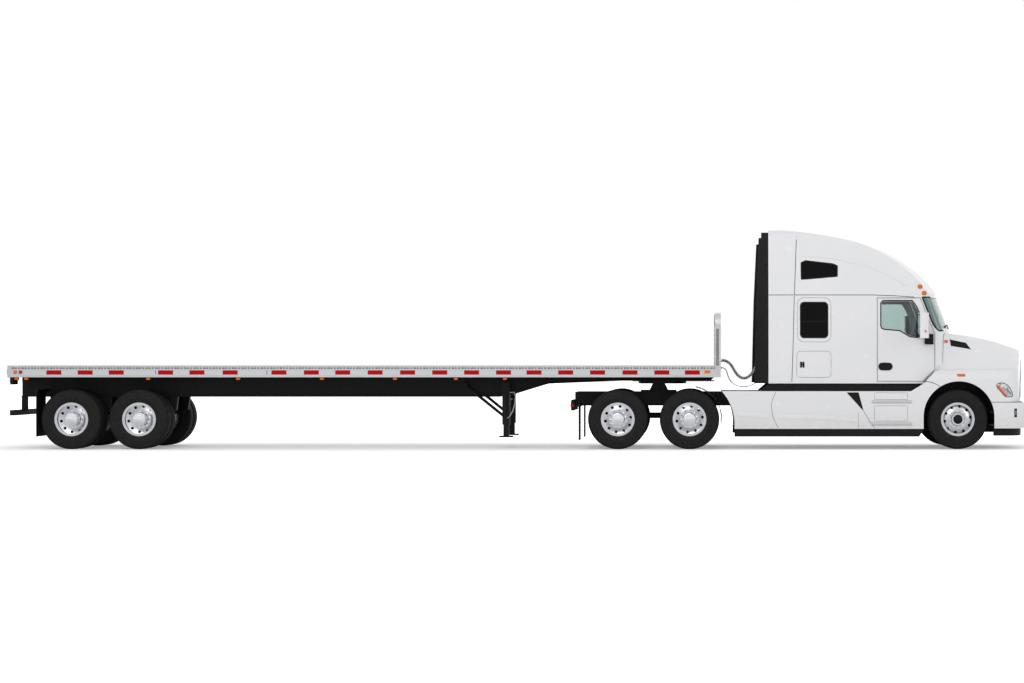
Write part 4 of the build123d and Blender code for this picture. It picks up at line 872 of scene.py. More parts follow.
class Tyres(bpy.types.Operator):
    """Replace the plain tyres by ones with round flanks, ribs and cross grooves"""
    bl_idname = "lorry.tyres"
    bl_label = "Tyres"

    def profile(self, depth):
        """(radius, width) round a tyre's section, and how deep a cross groove cuts each shoulder point."""
        half = TYRE_WIDTH / 2
        top = TYRE_RADIUS
        flank = [(RIM_RADIUS + 0.0015, half - 0.032), (RIM_RADIUS + 0.012, half - 0.020), (0.350, half - 0.009),
                 (0.388, half - 0.0035), (0.392, half - 0.001), (0.402, half - 0.001), (0.406, half - 0.0025),
                 (0.435, half - 0.0005), (0.470, half - 0.0015), (0.500, half - 0.007), (0.504, half - 0.006),
                 (0.512, half - 0.007), (0.530, half - 0.018), (0.543, half - 0.027), (top - 0.003, half - 0.036)]
        tread = [(top - 0.0005, half - 0.046)]
        for groove in (0.068, 0.023, -0.023, -0.068):
            tread += [(top - 0.0002, groove + 0.0065), (top - depth, groove + 0.004), (top - depth, groove - 0.004),
                      (top - 0.0002, groove - 0.0065)]
        tread += [(top - 0.0005, -half + 0.046)]
        points = flank + tread + [(radius, -width) for radius, width in reversed(flank)]
        points.append(points[0])
        last = len(points) - 2
        shoulder = [11, 12, 13, 14, 15]
        cut = 0.009
        return points, {1: {index: cut for index in shoulder + [last - index for index in shoulder]}}

    def execute(self, context):
        settings = context.scene.lorry_tyres
        points, depths = self.profile(settings.groove_depth)
        angles = []
        for index in range(settings.lug_count):
            for share, kind in ((0.0, 0), (0.02, 1), (0.12, 1), (0.14, 0)):
                angles.append((2 * math.pi * (index + share) / settings.lug_count, kind))
        for side, _ in SIDES:
            names = [(f"steer_tyre_{side}", f"steer_wheel_{side}", 1)]
            names += [(f"{row}_tyres_{side}", f"{row}_wheel_{side}", 2) for row in TWIN_ROWS]
            for node, body, count in names:
                low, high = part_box(node)
                middles = [low.y + TYRE_WIDTH / 2, high.y - TYRE_WIDTH / 2][:count]

                def rings(bm):
                    for y in middles:
                        turned(bm, points, ((low.x + high.x) / 2, y, AXLE_Z), (0, 1, 0), depths=depths,
                               angles=angles)
                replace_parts(piece(f"{node}_treaded", rings, ("tyre",), body, 32.0), node)
        return {"FINISHED"}


class WheelFittings(bpy.types.Operator):
    """Add the nuts, hub caps and bolts to the wheels, and a drum behind each"""
    bl_idname = "lorry.wheel_fittings"
    bl_label = "Wheel fittings"

    nut_circle = 0.142
    # How far in from the wheel's outer end the rim's flat lies
    flat_depth = {"steer": 0.050, "drive": 0.220, "trailer": 0.220}
    # How many bolts hold the cap, and the radius of their circle
    cap_bolts = {"steer": (6, 0.094), "drive": (8, 0.084), "trailer": (6, 0.094)}
    dust_cap = ((0.0, 0.026), (0.030, 0.024), (0.056, 0.018), (0.072, 0.009), (0.078, 0.0), (0.078, -0.004))
    caps = {
        "steer": ((0.0, 0.012), (0.030, 0.011), (0.052, 0.006), (0.062, 0.0), (0.086, 0.0), (0.092, -0.004),
                  (0.112, -0.006), (0.1165, -0.012), (0.1165, -0.030)),
        "drive": ((0.0, 0.010), (0.055, 0.009), (0.070, 0.003), (0.100, 0.003), (0.108, 0.0), (0.1165, -0.004),
                  (0.1165, -0.030)),
        "trailer": ((0.0, 0.012), (0.070, 0.010), (0.086, 0.002), (0.104, 0.002), (0.1165, -0.003),
                    (0.1165, -0.030)),
    }

    def execute(self, context):
        for side, sign in SIDES:
            rows = [(f"steer_rim_{side}", f"steer_wheel_{side}", "steer")]
            rows += [(f"{row}_rims_{side}", f"{row}_wheel_{side}", "drive" if "drive" in row else "trailer")
                     for row in TWIN_ROWS]
            for node, body, kind in rows:
                low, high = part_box(node)
                x = (low.x + high.x) / 2
                end = sign * max(abs(low.y), abs(high.y))
                flat = end - sign * self.flat_depth[kind]
                self.make(f"{node}_fittings", body, x, end, flat, sign, kind)
        return {"FINISHED"}

    def make(self, name, body, x, end, flat, sign, kind):
        """Ten nuts on the rim's flat, a drum through its middle and a cap with its own ring of bolts."""
        out = (0, sign, 0)
        drum = [(0.122, 0.0), (0.126, 0.004), (0.126, 0.016), (0.119, 0.024), (0.117, abs(end - flat) - 0.014)]

        def fill(bm):
            self.ring(bm, x, flat, out, 10, 0.25, self.nut_circle, 0.0195, 0.036)
            turned(bm, drum, (x, flat, AXLE_Z), out, 40)
            turned(bm, self.caps[kind], (x, end, AXLE_Z), out, 40)
            count, radius = self.cap_bolts[kind]
            self.ring(bm, x, end + sign * 0.001, out, count, 0.5, radius, 0.0085, 0.009)
            if kind == "steer":
                turned(bm, self.dust_cap, (x, end, AXLE_Z), out, 36, 1)
        piece(name, fill, ("chrome", "plastic"), body, 30.0)

    def ring(self, bm, x, y, out, count, start, circle, radius, height):
        """Nuts in a circle round the wheel's axis; start is the first one's share of their spacing."""
        for index in range(count):
            angle = 2 * math.pi * (index + start) / count
            nut(bm, (x + circle * math.cos(angle), y, AXLE_Z + circle * math.sin(angle)), out, radius, height)


class Seams(bpy.types.Operator):
    """Lay the panel seams, the roof crease and the window gaskets on the cab's sides"""
    bl_idname = "lorry.seams"
    bl_label = "Seams and gaskets"

    roof_crease = ((5.227, 3.577), (5.482, 3.572), (5.783, 3.533), (6.083, 3.466), (6.383, 3.383),
                   (6.683, 3.277), (6.984, 3.112), (7.134, 3.023))
    sleeper_seam = ((4.995, 1.235), (5.020, 2.000), (5.040, 2.820))
    roof_seam = ((5.043, 2.852), (5.060, 3.300), (5.085, 3.925))
    door_top_seam = ((6.552, 2.838), (6.900, 2.826), (7.250, 2.802))
    upper_pane = ((5.180, 3.139), (5.825, 3.195), (5.825, 3.375), (5.745, 3.405), (5.250, 3.462), (5.180, 3.430))
    door_window = ((6.650, 2.270), (6.664, 2.236), (6.697, 2.224), (6.987, 2.200), (7.177, 2.085), (7.367, 2.064),
                   (7.369, 2.190), (7.356, 2.350), (7.332, 2.500), (7.280, 2.620), (7.207, 2.723), (6.683, 2.723),
                   (6.650, 2.690))

    def execute(self, context):
        settings = context.scene.lorry_seams
        width = settings.width
        body = surface("cab_shell", "roof_fairing")
        for side, sign in SIDES:
            def seams(bm):
                for points in (self.sleeper_seam, self.roof_seam, self.door_top_seam):
                    side_strip(bm, body, dense(points, 0.1), sign, width * 1.5, 0.002)
                foot = ROOF_LOW.z + 0.004
                side_strip(bm, body, dense([(CAB_LOW.x + 0.005, foot), (DOOR_LOW.x - 0.012, foot)], 0.3), sign,
                           width * 1.6, 0.002)
                frame_outline = rounded(5.095, 5.715, 1.975, 2.790, 0.12)
                side_strip(bm, body, frame_outline, sign, width * 0.7, 0.0012, closed=True)
            piece(f"body_seams_{side}", seams, ("iron",), "tractor", 50.0)

            def crease(bm):
                side_strip(bm, body, dense(self.roof_crease, 0.05), sign, 0.075, 0.006, crown=0.5)
            piece(f"roof_crease_{side}", crease, ("white",), "tractor", 80.0)

            def gaskets(bm):
                for points in (rounded(5.155, 5.655, 2.054, 2.704, 0.065), self.grown(self.upper_pane, 0.012)):
                    side_strip(bm, body, dense(points, 0.08, True), sign, settings.gasket, 0.004, closed=True)
            piece(f"sleeper_gaskets_{side}", gaskets, ("plastic",), "tractor", 50.0)
            panes = surface("cab_glass")

            def divider(bm):
                side_strip(bm, panes, dense([(5.172, 2.352), (5.638, 2.352)], 0.1), sign, 0.022, 0.006)
            piece(f"sleeper_window_bar_{side}", divider, ("plastic",), "tractor", 50.0)
            door = surface(f"door_{side}")
            rear, front = DOOR_LOW.x + 0.008, DOOR_HIGH.x - 0.008
            foot, head = DOOR_LOW.z + 0.008, DOOR_HIGH.z - 0.008
            edge = ((rear, foot), (front - 0.218, foot), (front, foot + 0.210), (front, 2.120),
                    (front - 0.264, head), (rear, head))

            def door_edge(bm):
                side_strip(bm, door, dense(edge, 0.1, True), sign, width * 0.7, 0.0012, closed=True)
            piece(f"door_edge_{side}", door_edge, ("iron",), f"door_{side}", 50.0)

            def door_gasket(bm):
                side_strip(bm, door, dense(self.grown(self.door_window, 0.016), 0.06, True), sign,
                           settings.gasket, 0.004, closed=True)
            piece(f"door_gasket_{side}", door_gasket, ("plastic",), f"door_{side}", 50.0)
        return {"FINISHED"}

    def grown(self, points, by):
        """The outline pushed outwards from its own middle line."""
        count = len(points)
        area = sum(points[i][0] * points[(i + 1) % count][1] - points[(i + 1) % count][0] * points[i][1]
                   for i in range(count))
        turn = 1 if area > 0 else -1
        rows = []
        for index in range(count):
            before = Vector(points[index - 1])
            at = Vector(points[index])
            after = Vector(points[(index + 1) % count])
            a = (at - before).normalized()
            b = (after - at).normalized()
            out = (Vector((a.y, -a.x)) + Vector((b.y, -b.x))) * turn
            rows.append(tuple(at + out.normalized() * by))
        return rows


class CabTrim(bpy.types.Operator):
    """Add door handles, latches, mirror glasses and the wipers"""
    bl_idname = "lorry.cab_trim"
    bl_label = "Cab trim"

    pillar_y = 1.0
    handle_z = 1.522
    latch_z = 1.556

    def execute(self, context):
        for side, sign in SIDES:
            self.door_handle(side, sign)
            self.latch(side, sign)
            self.mirror(side, sign)
            self.screen_side(side, sign)
            self.corner_filler(side, sign)
        self.wipers()
        self.back_wall()
        return {"FINISHED"}

    def corner_filler(self, side, sign):
        """The white inner panel that closes the corner between the door, the hood and the fender."""
        low, high = (7.600, sign * 1.070, 1.330), (7.780, sign * 1.092, 1.590)
        piece(f"corner_filler_{side}", lambda bm: box(bm, low, high), ("white",), "tractor", bevel=0.003)

    def screen_side(self, side, sign):
        """The bent side edge of the windscreen, which wraps round the front pillar with a black border."""
        shell = surface("cab_shell", "cab_glass")
        levels = ((2.185, 7.700), (2.240, 7.645), (2.300, 7.600), (2.420, 7.550), (2.540, 7.502), (2.660, 7.455),
                  (2.770, 7.410), (2.800, 7.400))

        def fill(bm):
            rows = []
            for z, x in levels:
                middle = Vector((x, sign * self.pillar_y, z))
                row = []
                for angle in (0, 8, 16, 24, 32, 40, 50, 60, 70, 80, 90):
                    way = Vector((math.sin(math.radians(angle)), sign * math.cos(math.radians(angle)), 0.0))
                    row.append(hit(shell, middle + way * 1.2, -way))
                rows.append(row)
            skin(bm, rows, 0.004)
            border = [row[0] for row in rows] + rows[-1][1:] + [row[-1] for row in rows[-2:0:-1]] + rows[0][:0:-1]
            ribbon(bm, border, 0.030, 0.006, 1, closed=True)
        piece(f"screen_side_{side}", fill, ("screen", "plastic"), "tractor", 60.0)

    def door_handle(self, side, sign):
        """A paddle in an oval black cup."""
        face_y = sign * max(abs(DOOR_LOW.y), abs(DOOR_HIGH.y))
        middle_x, middle_z = DOOR_LOW.x + 0.152, self.handle_z

        def fill(bm):
            turns = [2 * math.pi * index / 40 for index in range(40)]
            rim, top, lip, pit = ([bm.verts.new((middle_x + wide * math.cos(t), face_y + sign * lift,
                                                 middle_z + tall * math.sin(t))) for t in turns]
                                  for wide, tall, lift in ((0.132, 0.073, -0.004), (0.132, 0.073, 0.006),
                                                           (0.114, 0.056, 0.006), (0.114, 0.056, -0.003)))
            for low, high in ((rim, top), (top, lip), (lip, pit)):
                band(bm, low, high)
            bm.faces.new(pit)
            box(bm, (middle_x - 0.085, face_y - sign * 0.003, middle_z - 0.012),
                (middle_x + 0.070, face_y + sign * 0.011, middle_z + 0.020), 1)
        piece(f"door_handle_{side}", fill, ("plastic", "black"), f"door_{side}", bevel=0.003)

    def latch(self, side, sign):
        """The luggage hatch's twin-pull latch."""
        face_y = sign * CAB_HIGH.y
        x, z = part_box(f"luggage_hatch_{side}")[0].x + 0.098, self.latch_z

        def fill(bm):
            for low, high in ((-0.040, -0.004), (0.004, 0.040)):
                prism(bm, rounded(x + low, x + high, z - 0.055, z + 0.055, 0.012), face_y - sign * 0.002,
                      face_y + sign * 0.007)
            box(bm, (x - 0.030, face_y, z - 0.008), (x + 0.030, face_y + sign * 0.012, z + 0.008))
        piece(f"hatch_latch_{side}", fill, ("plastic",), f"luggage_hatch_{side}", bevel=0.002)

    def mirror(self, side, sign):
        """The mirror's two glasses on the rear face, and its turn lamp."""
        low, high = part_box(f"mirror_{side}")
        out_y = sign * max(abs(low.y), abs(high.y))
        inner_y = out_y - sign * 0.275
        border = 0.010

        def fill(bm):
            y_low, y_high = sorted((inner_y, out_y - sign * 0.025))
            for z_low, z_high in ((2.225, 2.480), (2.065, 2.195)):
                prism(bm, rounded(y_low, y_high, z_low, z_high, 0.025), low.x - 0.003, low.x + 0.004, "x", 1)
                prism(bm, rounded(y_low + border, y_high - border, z_low + border, z_high - border, 0.020),
                      low.x - 0.005, low.x + 0.002, "x")
        piece(f"mirror_glass_{side}", fill, ("chrome", "plastic"), f"door_{side}")

        def lamp(bm):
            at = Vector((low.x + 0.105, out_y - sign * 0.003, 2.165))
            turned(bm, [(0.0, 0.007), (0.014, 0.006), (0.019, 0.0), (0.019, -0.012)], at, (0, sign, 0), 20)
        piece(f"mirror_lamp_{side}", lamp, ("amber",), f"door_{side}")

    def wipers(self):
        """Two wipers that lie along the foot of the windscreen."""
        screen = surface("cab_glass", "cab_shell")
        for name, pivot_y, tip_y in (("right", -0.10, -0.78), ("left", 0.62, -0.04)):
            rows = []
            for share in (0.0, 0.25, 0.5, 0.75, 1.0):
                y = pivot_y + (tip_y - pivot_y) * share
                z = 2.235 + 0.05 * math.sin(math.pi * share)
                rows.append(front_seat(screen, y, z))

            def fill(bm):
                tube(bm, [p + n * (0.022 if 0 < i < 4 else 0.012) for i, (p, n) in enumerate(rows)], 0.007, 8)
                tube(bm, [p + n * 0.008 + Vector((0, 0, 0.012)) for p, n in rows[1:]], 0.006, 8)
                turned(bm, [(0.0, 0.03), (0.016, 0.028), (0.020, 0.0)], rows[0][0], rows[0][1], 20)
            piece(f"wiper_{name}", fill, ("plastic",), "tractor", 50.0)

    def back_wall(self):
        """Upright stiffening ribs and a work lamp on the cab's back wall."""
        x = CAB_LOW.x

        def fill(bm):
            for y in (-0.72, -0.36, 0.36, 0.72):
                prism(bm, rounded(y - 0.035, y + 0.035, 1.78, 2.78, 0.034), x - 0.012, x + 0.001, axis="x")
        piece("back_wall_ribs", fill, ("white",), "tractor", bevel=0.004)

        def lamp(bm):
            at, back = (x, 0.0, 2.62), (-1, 0, 0)
            turned(bm, [(0.0, 0.040), (0.045, 0.038), (0.055, 0.030), (0.055, 0.0)], at, back, 28, 1)
            turned(bm, [(0.0, 0.043), (0.040, 0.041), (0.046, 0.036)], at, back, 28)
        piece("work_lamp", lamp, ("clear", "plastic"), "tractor", 50.0)


class Cushions(bpy.types.Operator):
    """Make the crowned seat pads and the mattress in place of the plain CAD ones, with their bases"""
    bl_idname = "lorry.cushions"
    bl_label = "Seats and mattress"

    def execute(self, context):
        low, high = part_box("seats_and_bunk")
        mattress_low = Vector((low.x + 0.004, -high.y + 0.004, 1.875))
        mattress_high = Vector((low.x + 0.946, high.y - 0.004, 1.990))
        self.pad("mattress", (mattress_low + mattress_high) / 2, (mattress_high - mattress_low) / 2,
                 Vector((0, 0, 1)), Vector((1, 0, 0)), (-0.62, -0.31, 0.0, 0.31, 0.62), 1)
        lean = Vector((-0.12, 0.0, 0.78)).normalized()
        for side, sign in SIDES:
            self.pad(f"seat_cushion_{side}", Vector((6.430, sign * 0.52, 1.700)), Vector((0.248, 0.248, 0.059)),
                     Vector((0, 0, 1)), Vector((1, 0, 0)), (-0.55, 0.55), 1)
            self.pad(f"seat_back_{side}", Vector((6.130, sign * 0.52, 2.070)), Vector((0.388, 0.238, 0.060)),
                     Vector((lean.z, 0, -lean.x)), lean, (-0.45, 0.0, 0.45), 0)

        def bases(bm):
            for _, sign in SIDES:
                y_low, y_high = sorted((sign * 0.36, sign * 0.68))
                box(bm, (6.270, y_low, low.z), (6.550, y_high, 1.643))
                box(bm, (6.200, y_low - 0.05, 1.628), (6.640, y_high + 0.05, 1.652))
            box(bm, (low.x + 0.001, -high.y + 0.001, 1.842), (low.x + 0.948, high.y - 0.001, 1.878))
        made = piece("seat_bases", bases, ("plastic",), "tractor", bevel=0.004)
        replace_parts(made, "seats_and_bunk")
        return {"FINISHED"}

    def pad(self, name, middle, half, up, along, channels, channel_axis):
        """A crowned closed pad whose sides pull in between its corners, with sewn channels across its top."""
        across = up.cross(along)
        steps = 28

        def fill(bm):
            bmesh.ops.create_grid(bm, x_segments=steps, y_segments=steps, size=1.0)
            grid = bmesh.ops.extrude_face_region(bm, geom=list(bm.faces), use_keep_orig=True)
            tops = {v for v in grid["geom"] if isinstance(v, bmesh.types.BMVert)}
            for vert in bm.verts:
                u, v = vert.co.x, vert.co.y
                crown = 0.52 + 0.48 * (max(0.0, 1 - u ** 4) * max(0.0, 1 - v ** 4)) ** 0.4
                if vert in tops:
                    at = (u, v)[channel_axis]
                    crown -= sum(0.10 * math.exp(-((at - c) / 0.035) ** 2) for c in channels)
                x = half.x * u * (1 - 0.035 * (1 - v * v) * u * u)
                y = half.y * v * (1 - 0.035 * (1 - u * u) * v * v)
                z = half.z * crown * (1 if vert in tops else -1)
                vert.co = middle + along * x + across * y + up * z
        made = piece(name, fill, ("cloth",), "tractor", 60.0, bevel=0.012)
        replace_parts(made, "seats_and_bunk")


class FrontTrim(bpy.types.Operator):
    """Add the grille's mesh and frame, the hood's vents, the bumper's lamps and the arch linings"""
    bl_idname = "lorry.front_trim"
    bl_label = "Hood and front trim"

    lip_radius = 0.668
    lining_radii = (0.6475, 0.6495)
    lining_y = (0.70, 1.205)
    vent = ((7.903, 2.032), (8.219, 1.968), (8.324, 1.826), (7.925, 1.893))

    def execute(self, context):
        hood = surface("hood")
        for side, sign in SIDES:
            def vent(bm):
                grid_plate(bm, hood, self.vent, sign, 0.005)
                side_strip(bm, hood, dense(self.vent, 0.05, True), sign, 0.022, 0.009, 1, closed=True)
                for share in (0.25, 0.5, 0.75):
                    start, end = (tuple(a + (b - a) * share for a, b in zip(self.vent[top], self.vent[foot]))
                                  for top, foot in ((0, 3), (1, 2)))
                    slat = dense([(start[0] + 0.02, start[1]), (end[0] - 0.02, end[1])], 0.06)
                    side_strip(bm, hood, slat, sign, 0.010, 0.009, 2)
            piece(f"hood_vent_{side}", vent, ("plastic", "white", "black"), "hood", 60.0)

            def lip(bm):
                angles = [math.radians(degrees) for degrees in range(36, 118, 6)]
                points = [(ARCH_X + self.lip_radius * math.cos(a), ARCH_Z + self.lip_radius * math.sin(a))
                          for a in angles]
                side_strip(bm, hood, points, sign, 0.030, 0.004, crown=0.3)
            piece(f"arch_lip_{side}", lip, ("white",), "hood", 70.0)
            self.arch_lining(side, sign)
            self.nose_side(side, sign, hood)
        self.grille_mesh()
        self.bumper_trim()
        return {"FINISHED"}

    def nose_side(self, side, sign, hood):
        """The dark panel beside the grille, with a bright outer edge that bends round the nose."""
        levels = [(0.960 + 0.79 * share / 12, 0.86 - 0.10 * share / 12) for share in range(13)]
        inner = 0.535

        def fill(bm):
            rows = [[front_seat(hood, sign * (inner + (reach - inner) * on / 8), z) for on in range(9)]
                    for z, reach in levels]
            skin(bm, rows, 0.003)
            ribbon(bm, [row[-1] for row in rows], 0.030, 0.007, 1, crown=0.3)
        piece(f"nose_side_{side}", fill, ("plastic", "chrome"), "hood", 60.0)

    def arch_lining(self, side, sign):
        """The black inner lining of a front wheel arch."""
        def fill(bm):
            rows = []
            for angle in range(6, 172, 6):
                a = math.radians(angle)
                for radius in self.lining_radii:
                    x, z = ARCH_X + radius * math.cos(a), ARCH_Z + radius * math.sin(a)
                    rows.append([bm.verts.new((x, sign * y, z)) for y in self.lining_y])
            for index in range(0, len(rows) - 3, 2):
                inner, outer, next_inner, next_outer = rows[index:index + 4]
                for low, high in ((inner, next_inner), (next_outer, outer)):
                    bm.faces.new((low[0], low[1], high[1], high[0]))
                bm.faces.new((inner[0], next_inner[0], next_outer[0], outer[0]))
                bm.faces.new((inner[1], outer[1], next_outer[1], next_inner[1]))
            for first, second in ((rows[0], rows[1]), (rows[-2], rows[-1])):
                bm.faces.new((first[0], first[1], second[1], second[0]))
        piece(f"arch_lining_{side}", fill, ("plastic",), "hood", 60.0)

    def grille_mesh(self):
        """A dark mesh behind the grille's bars and a bright frame round them."""
        shell = surface("grille", "hood")
        outline = [(-0.446, 0.930), (0.446, 0.930), (0.490, 1.495), (0.420, 1.674), (-0.420, 1.674),
                   (-0.490, 1.495)]
        reach = 0.39

        def bright(bm):
            frame_seats = [front_seat(shell, y, z) for y, z in dense(outline, 0.06, True)]
            ribbon(bm, frame_seats, 0.034, 0.007, closed=True, crown=0.3)
            for z in (1.034 + 0.09 * index for index in range(7)):
                bar = [front_seat(shell, -reach + 2 * reach * share / 8, z) for share in range(9)]
                ribbon(bm, bar, 0.018, 0.005, crown=0.2)
        piece("grille_brightwork", bright, ("chrome",), "hood", 60.0)

        def mesh(bm):
            x = HOOD_HIGH.x - 0.110
            pitch = 0.0215
            low = [bm.verts.new((x - 0.02 * abs(y), y, 0.92)) for y in (-0.45, 0, 0.45)]
            high = [bm.verts.new((x - 0.03 - 0.02 * abs(y), y, 1.66)) for y in (-0.41, 0, 0.41)]
            for index in range(2):
                bm.faces.new((low[index], low[index + 1], high[index + 1], high[index]))
            for index in range(34):
                z = 0.93 + pitch * index
                tube(bm, [(x + 0.006 - 0.04 * (z - 0.92), y, z) for y in (-0.43, -0.2, 0, 0.2, 0.43)], 0.0025, 4)
            for index in range(41):
                y = -0.43 + pitch * index
                tube(bm, [(x + 0.006 - 0.04 * (z - 0.92), y, z) for z in (0.93, 1.3, 1.65)], 0.0025, 4)
        piece("grille_mesh", mesh, ("black",), "hood", 60.0)

    def bumper_trim(self):
        """Fog lamps in the bumper's side holes, a slot on each side, a mesh in its middle intake and a plate holder.
        """
        shell = surface("bumper")
        for side, sign in SIDES:
            at = (BUMPER_HIGH.x - 0.098, sign * 0.800, 0.560)

            def lamp(bm):
                turned(bm, [(0.0, 0.018), (0.030, 0.016), (0.050, 0.008), (0.054, 0.0)], at, (1, 0, 0), 32)
                turned(bm, [(0.054, 0.002), (0.066, 0.008), (0.070, 0.0), (0.070, -0.05)], at, (1, 0, 0), 32, 1)
            piece(f"fog_lamp_{side}", lamp, ("clear", "plastic"), "tractor", 50.0)

            def slot(bm):
                seats = [side_seat(shell, 9.105, z, sign) for z in (0.590, 0.630, 0.670, 0.710, 0.750)]
                ribbon(bm, seats, 0.055, 0.004)
                ribbon(bm, [(p + n * 0.002, n) for p, n in seats[1:-1]], 0.024, 0.006, 1)
            piece(f"bumper_slot_{side}", slot, ("plastic", "clear"), "tractor", 60.0)

        def intake(bm):
            x = BUMPER_HIGH.x - 0.050
            for index in range(9):
                z = 0.495 + 0.0162 * index
                tube(bm, [(x - 0.03 * abs(y), y, z) for y in (-0.445, -0.2, 0.0, 0.2, 0.445)], 0.003, 5)
            for index in range(36):
                y = -0.4375 + 0.025 * index
                tube(bm, [(x - 0.03 * abs(y), y, 0.487), (x - 0.03 * abs(y), y, 0.633)], 0.003, 5)
        piece("intake_mesh", intake, ("black",), "tractor", 60.0)

        def plate(bm):
            point, _ = front_seat(shell, 0.0, 0.74)
            prism(bm, rounded(-0.155, 0.155, 0.665, 0.825, 0.012), point.x - 0.004, point.x + 0.004, axis="x")
        piece("front_plate_holder", plate, ("plastic",), "tractor", bevel=0.001)


class Lamps(bpy.types.Operator):
    """Add the amber and red marker lamps of the tractor and the trailer, and the headlamps' insides"""
    bl_idname = "lorry.lamps"
    bl_label = "Lamps"

    def execute(self, context):
        self.roof_lamps()
        for side, sign in SIDES:
            self.side_lamps(side, sign)
            self.headlamp(side, sign)
            self.rail_lamps(side, sign)
        self.tractor_tail()
        self.trailer_tail()
        return {"FINISHED"}

    def lamp(self, name, seat, width, height, depth, key, body):
        """A domed lens in a low base, on a (point, normal) seat."""
        point, normal = seat
        along = (Vector((0, 0, 1)).cross(normal)).normalized()
        up = normal.cross(along)

        def fill(bm):
            for grow, low, high, material in ((0.005, -0.004, 0.003, 1), (0.0, 0.0, depth, 0)):
                outline = rounded(-width / 2 - grow, width / 2 + grow, -height / 2 - grow, height / 2 + grow,
                                  min(width, height) / 2 * 0.9)
                near = [bm.verts.new(point + along * a + up * b + normal * low) for a, b in outline]
                far = [bm.verts.new(point + along * a * 0.9 + up * b * 0.85 + normal * high) for a, b in outline]
                bm.faces.new(list(reversed(near))).material_index = material
                bm.faces.new(far).material_index = material
                band(bm, near, far, material)
        piece(name, fill, (key, "plastic"), body, 40.0)

    def roof_lamps(self):
        """Five amber lamps in a row across the front of the roof."""
        roof = surface("roof_fairing")
        self.lamp("roof_lamp_middle", front_seat(roof, 0.0, 2.900), 0.080, 0.050, 0.016, "amber", "tractor")
        for side, sign in SIDES:
            for name, x, z in (("upper", 7.360, 2.994), ("lower", 7.435, 2.874)):
                self.lamp(f"roof_lamp_{name}_{side}", side_seat(roof, x, z, sign), 0.080, 0.080, 0.018, "amber",
                          "tractor")

    def side_lamps(self, side, sign):
        """Two amber marker lamps on the hood's side."""
        hood = surface("hood")
        for name, x, z, width in (("hood_marker", 7.846, 1.984, 0.060), ("fender_marker", 8.105, 1.362, 0.150)):
            self.lamp(f"{name}_{side}", side_seat(hood, x, z, sign), width, 0.045, 0.014, "amber", "hood")

    def headlamp(self, side, sign):
        """A drop-shaped lens with an amber turn lamp along its lower edge, in a white surround."""
        cover = surface("headlamps", "hood")
        surround = ((8.736, 0.896), (8.990, 0.896), (9.052, 1.040), (8.904, 1.156), (8.797, 1.142),
                    (8.736, 1.045))
        drop = ((8.753, 1.176), (8.777, 1.208), (8.820, 1.220), (8.866, 1.220), (8.915, 1.203),
                (8.955, 1.176), (9.008, 1.114), (9.035, 1.060), (9.050, 1.007), (9.048, 0.975),
                (8.985, 0.962), (8.920, 0.965), (8.880, 1.002), (8.848, 1.044), (8.810, 1.085),
                (8.772, 1.126))
        turn = ((8.764, 1.168), (8.795, 1.180), (8.835, 1.135), (8.880, 1.070), (8.925, 1.005),
                (8.940, 0.972), (8.922, 0.972), (8.884, 1.008), (8.852, 1.050), (8.814, 1.091),
                (8.777, 1.130))

        def fill(bm):
            side_patch(bm, cover, dense(surround, 0.03, True), sign, 0.002, 2)
            side_patch(bm, cover, drop, sign, 0.004, 3, 0.006)
            side_patch(bm, cover, turn, sign, 0.008, 0, 0.003)
            side_strip(bm, cover, drop, sign, 0.013, 0.008, 1, closed=True)
        piece(f"headlamp_lens_{side}", fill, ("amber", "plastic", "white", "clear"), "hood", 50.0)

    def rail_lamps(self, side, sign):
        """Amber lamps that hang under the deck's edge, and the round ones near its rear end."""
        low = RAIL_LOW.z

        def fill(bm):
            for x in (-9.25, -9.07, -6.83, -5.18, -3.64, -2.30, -1.18, -0.28):
                prism(bm, rounded(x - 0.034, x + 0.034, low - 0.046, low - 0.008, 0.008), sign * 1.232,
                      sign * 1.268)
                box(bm, (x - 0.040, sign * 1.236, low - 0.050), (x + 0.040, sign * 1.226, low + 0.004), 1)
        piece(f"rail_markers_{side}", fill, ("amber", "black"), "trailer", 50.0)
        rail = surface("side_rails")
        for name, x, key in (("amber_end", -9.262, "amber"), ("red_end", -9.165, "red")):
            self.lamp(f"{name}_{side}", side_seat(rail, x, 1.418, sign), 0.062, 0.062, 0.012, key, "trailer")

    def tractor_tail(self):
        """Red lamps in a black bar behind the last axle of the tractor."""
        low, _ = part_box("tractor_frame")

        def fill(bm):
            box(bm, (low.x - 0.060, -0.560, 0.880), (low.x, 0.560, 0.900), 1)
            for sign in (-1, 1):
                box(bm, (low.x - 0.072, sign * 0.300, 0.700), (low.x, sign * 0.560, 0.890), 1)
                for y in (0.370, 0.490):
                    turned(bm, [(0.0, 0.014), (0.036, 0.010), (0.048, 0.0)], (low.x - 0.072, sign * y, 0.795),
                           (-1, 0, 0), 24)
                turned(bm, [(0.0, 0.010), (0.022, 0.008), (0.030, 0.0)], (low.x - 0.036, sign * 0.560, 0.795),
                       (0, sign, 0), 20)
            prism(bm, rounded(-0.155, 0.155, 0.715, 0.875, 0.010), low.x - 0.064, low.x - 0.058, "x", 2)
            box(bm, (low.x - 0.060, -0.160, 0.715), (low.x, 0.160, 0.880), 1)
        piece("tractor_tail_lamps", fill, ("red", "black", "mill"), "tractor", 40.0, bevel=0.002)

    def trailer_tail(self):
        """Corner lamps on the rear sill, three small red lamps in its middle and a bare plate."""
        x = RAIL_LOW.x

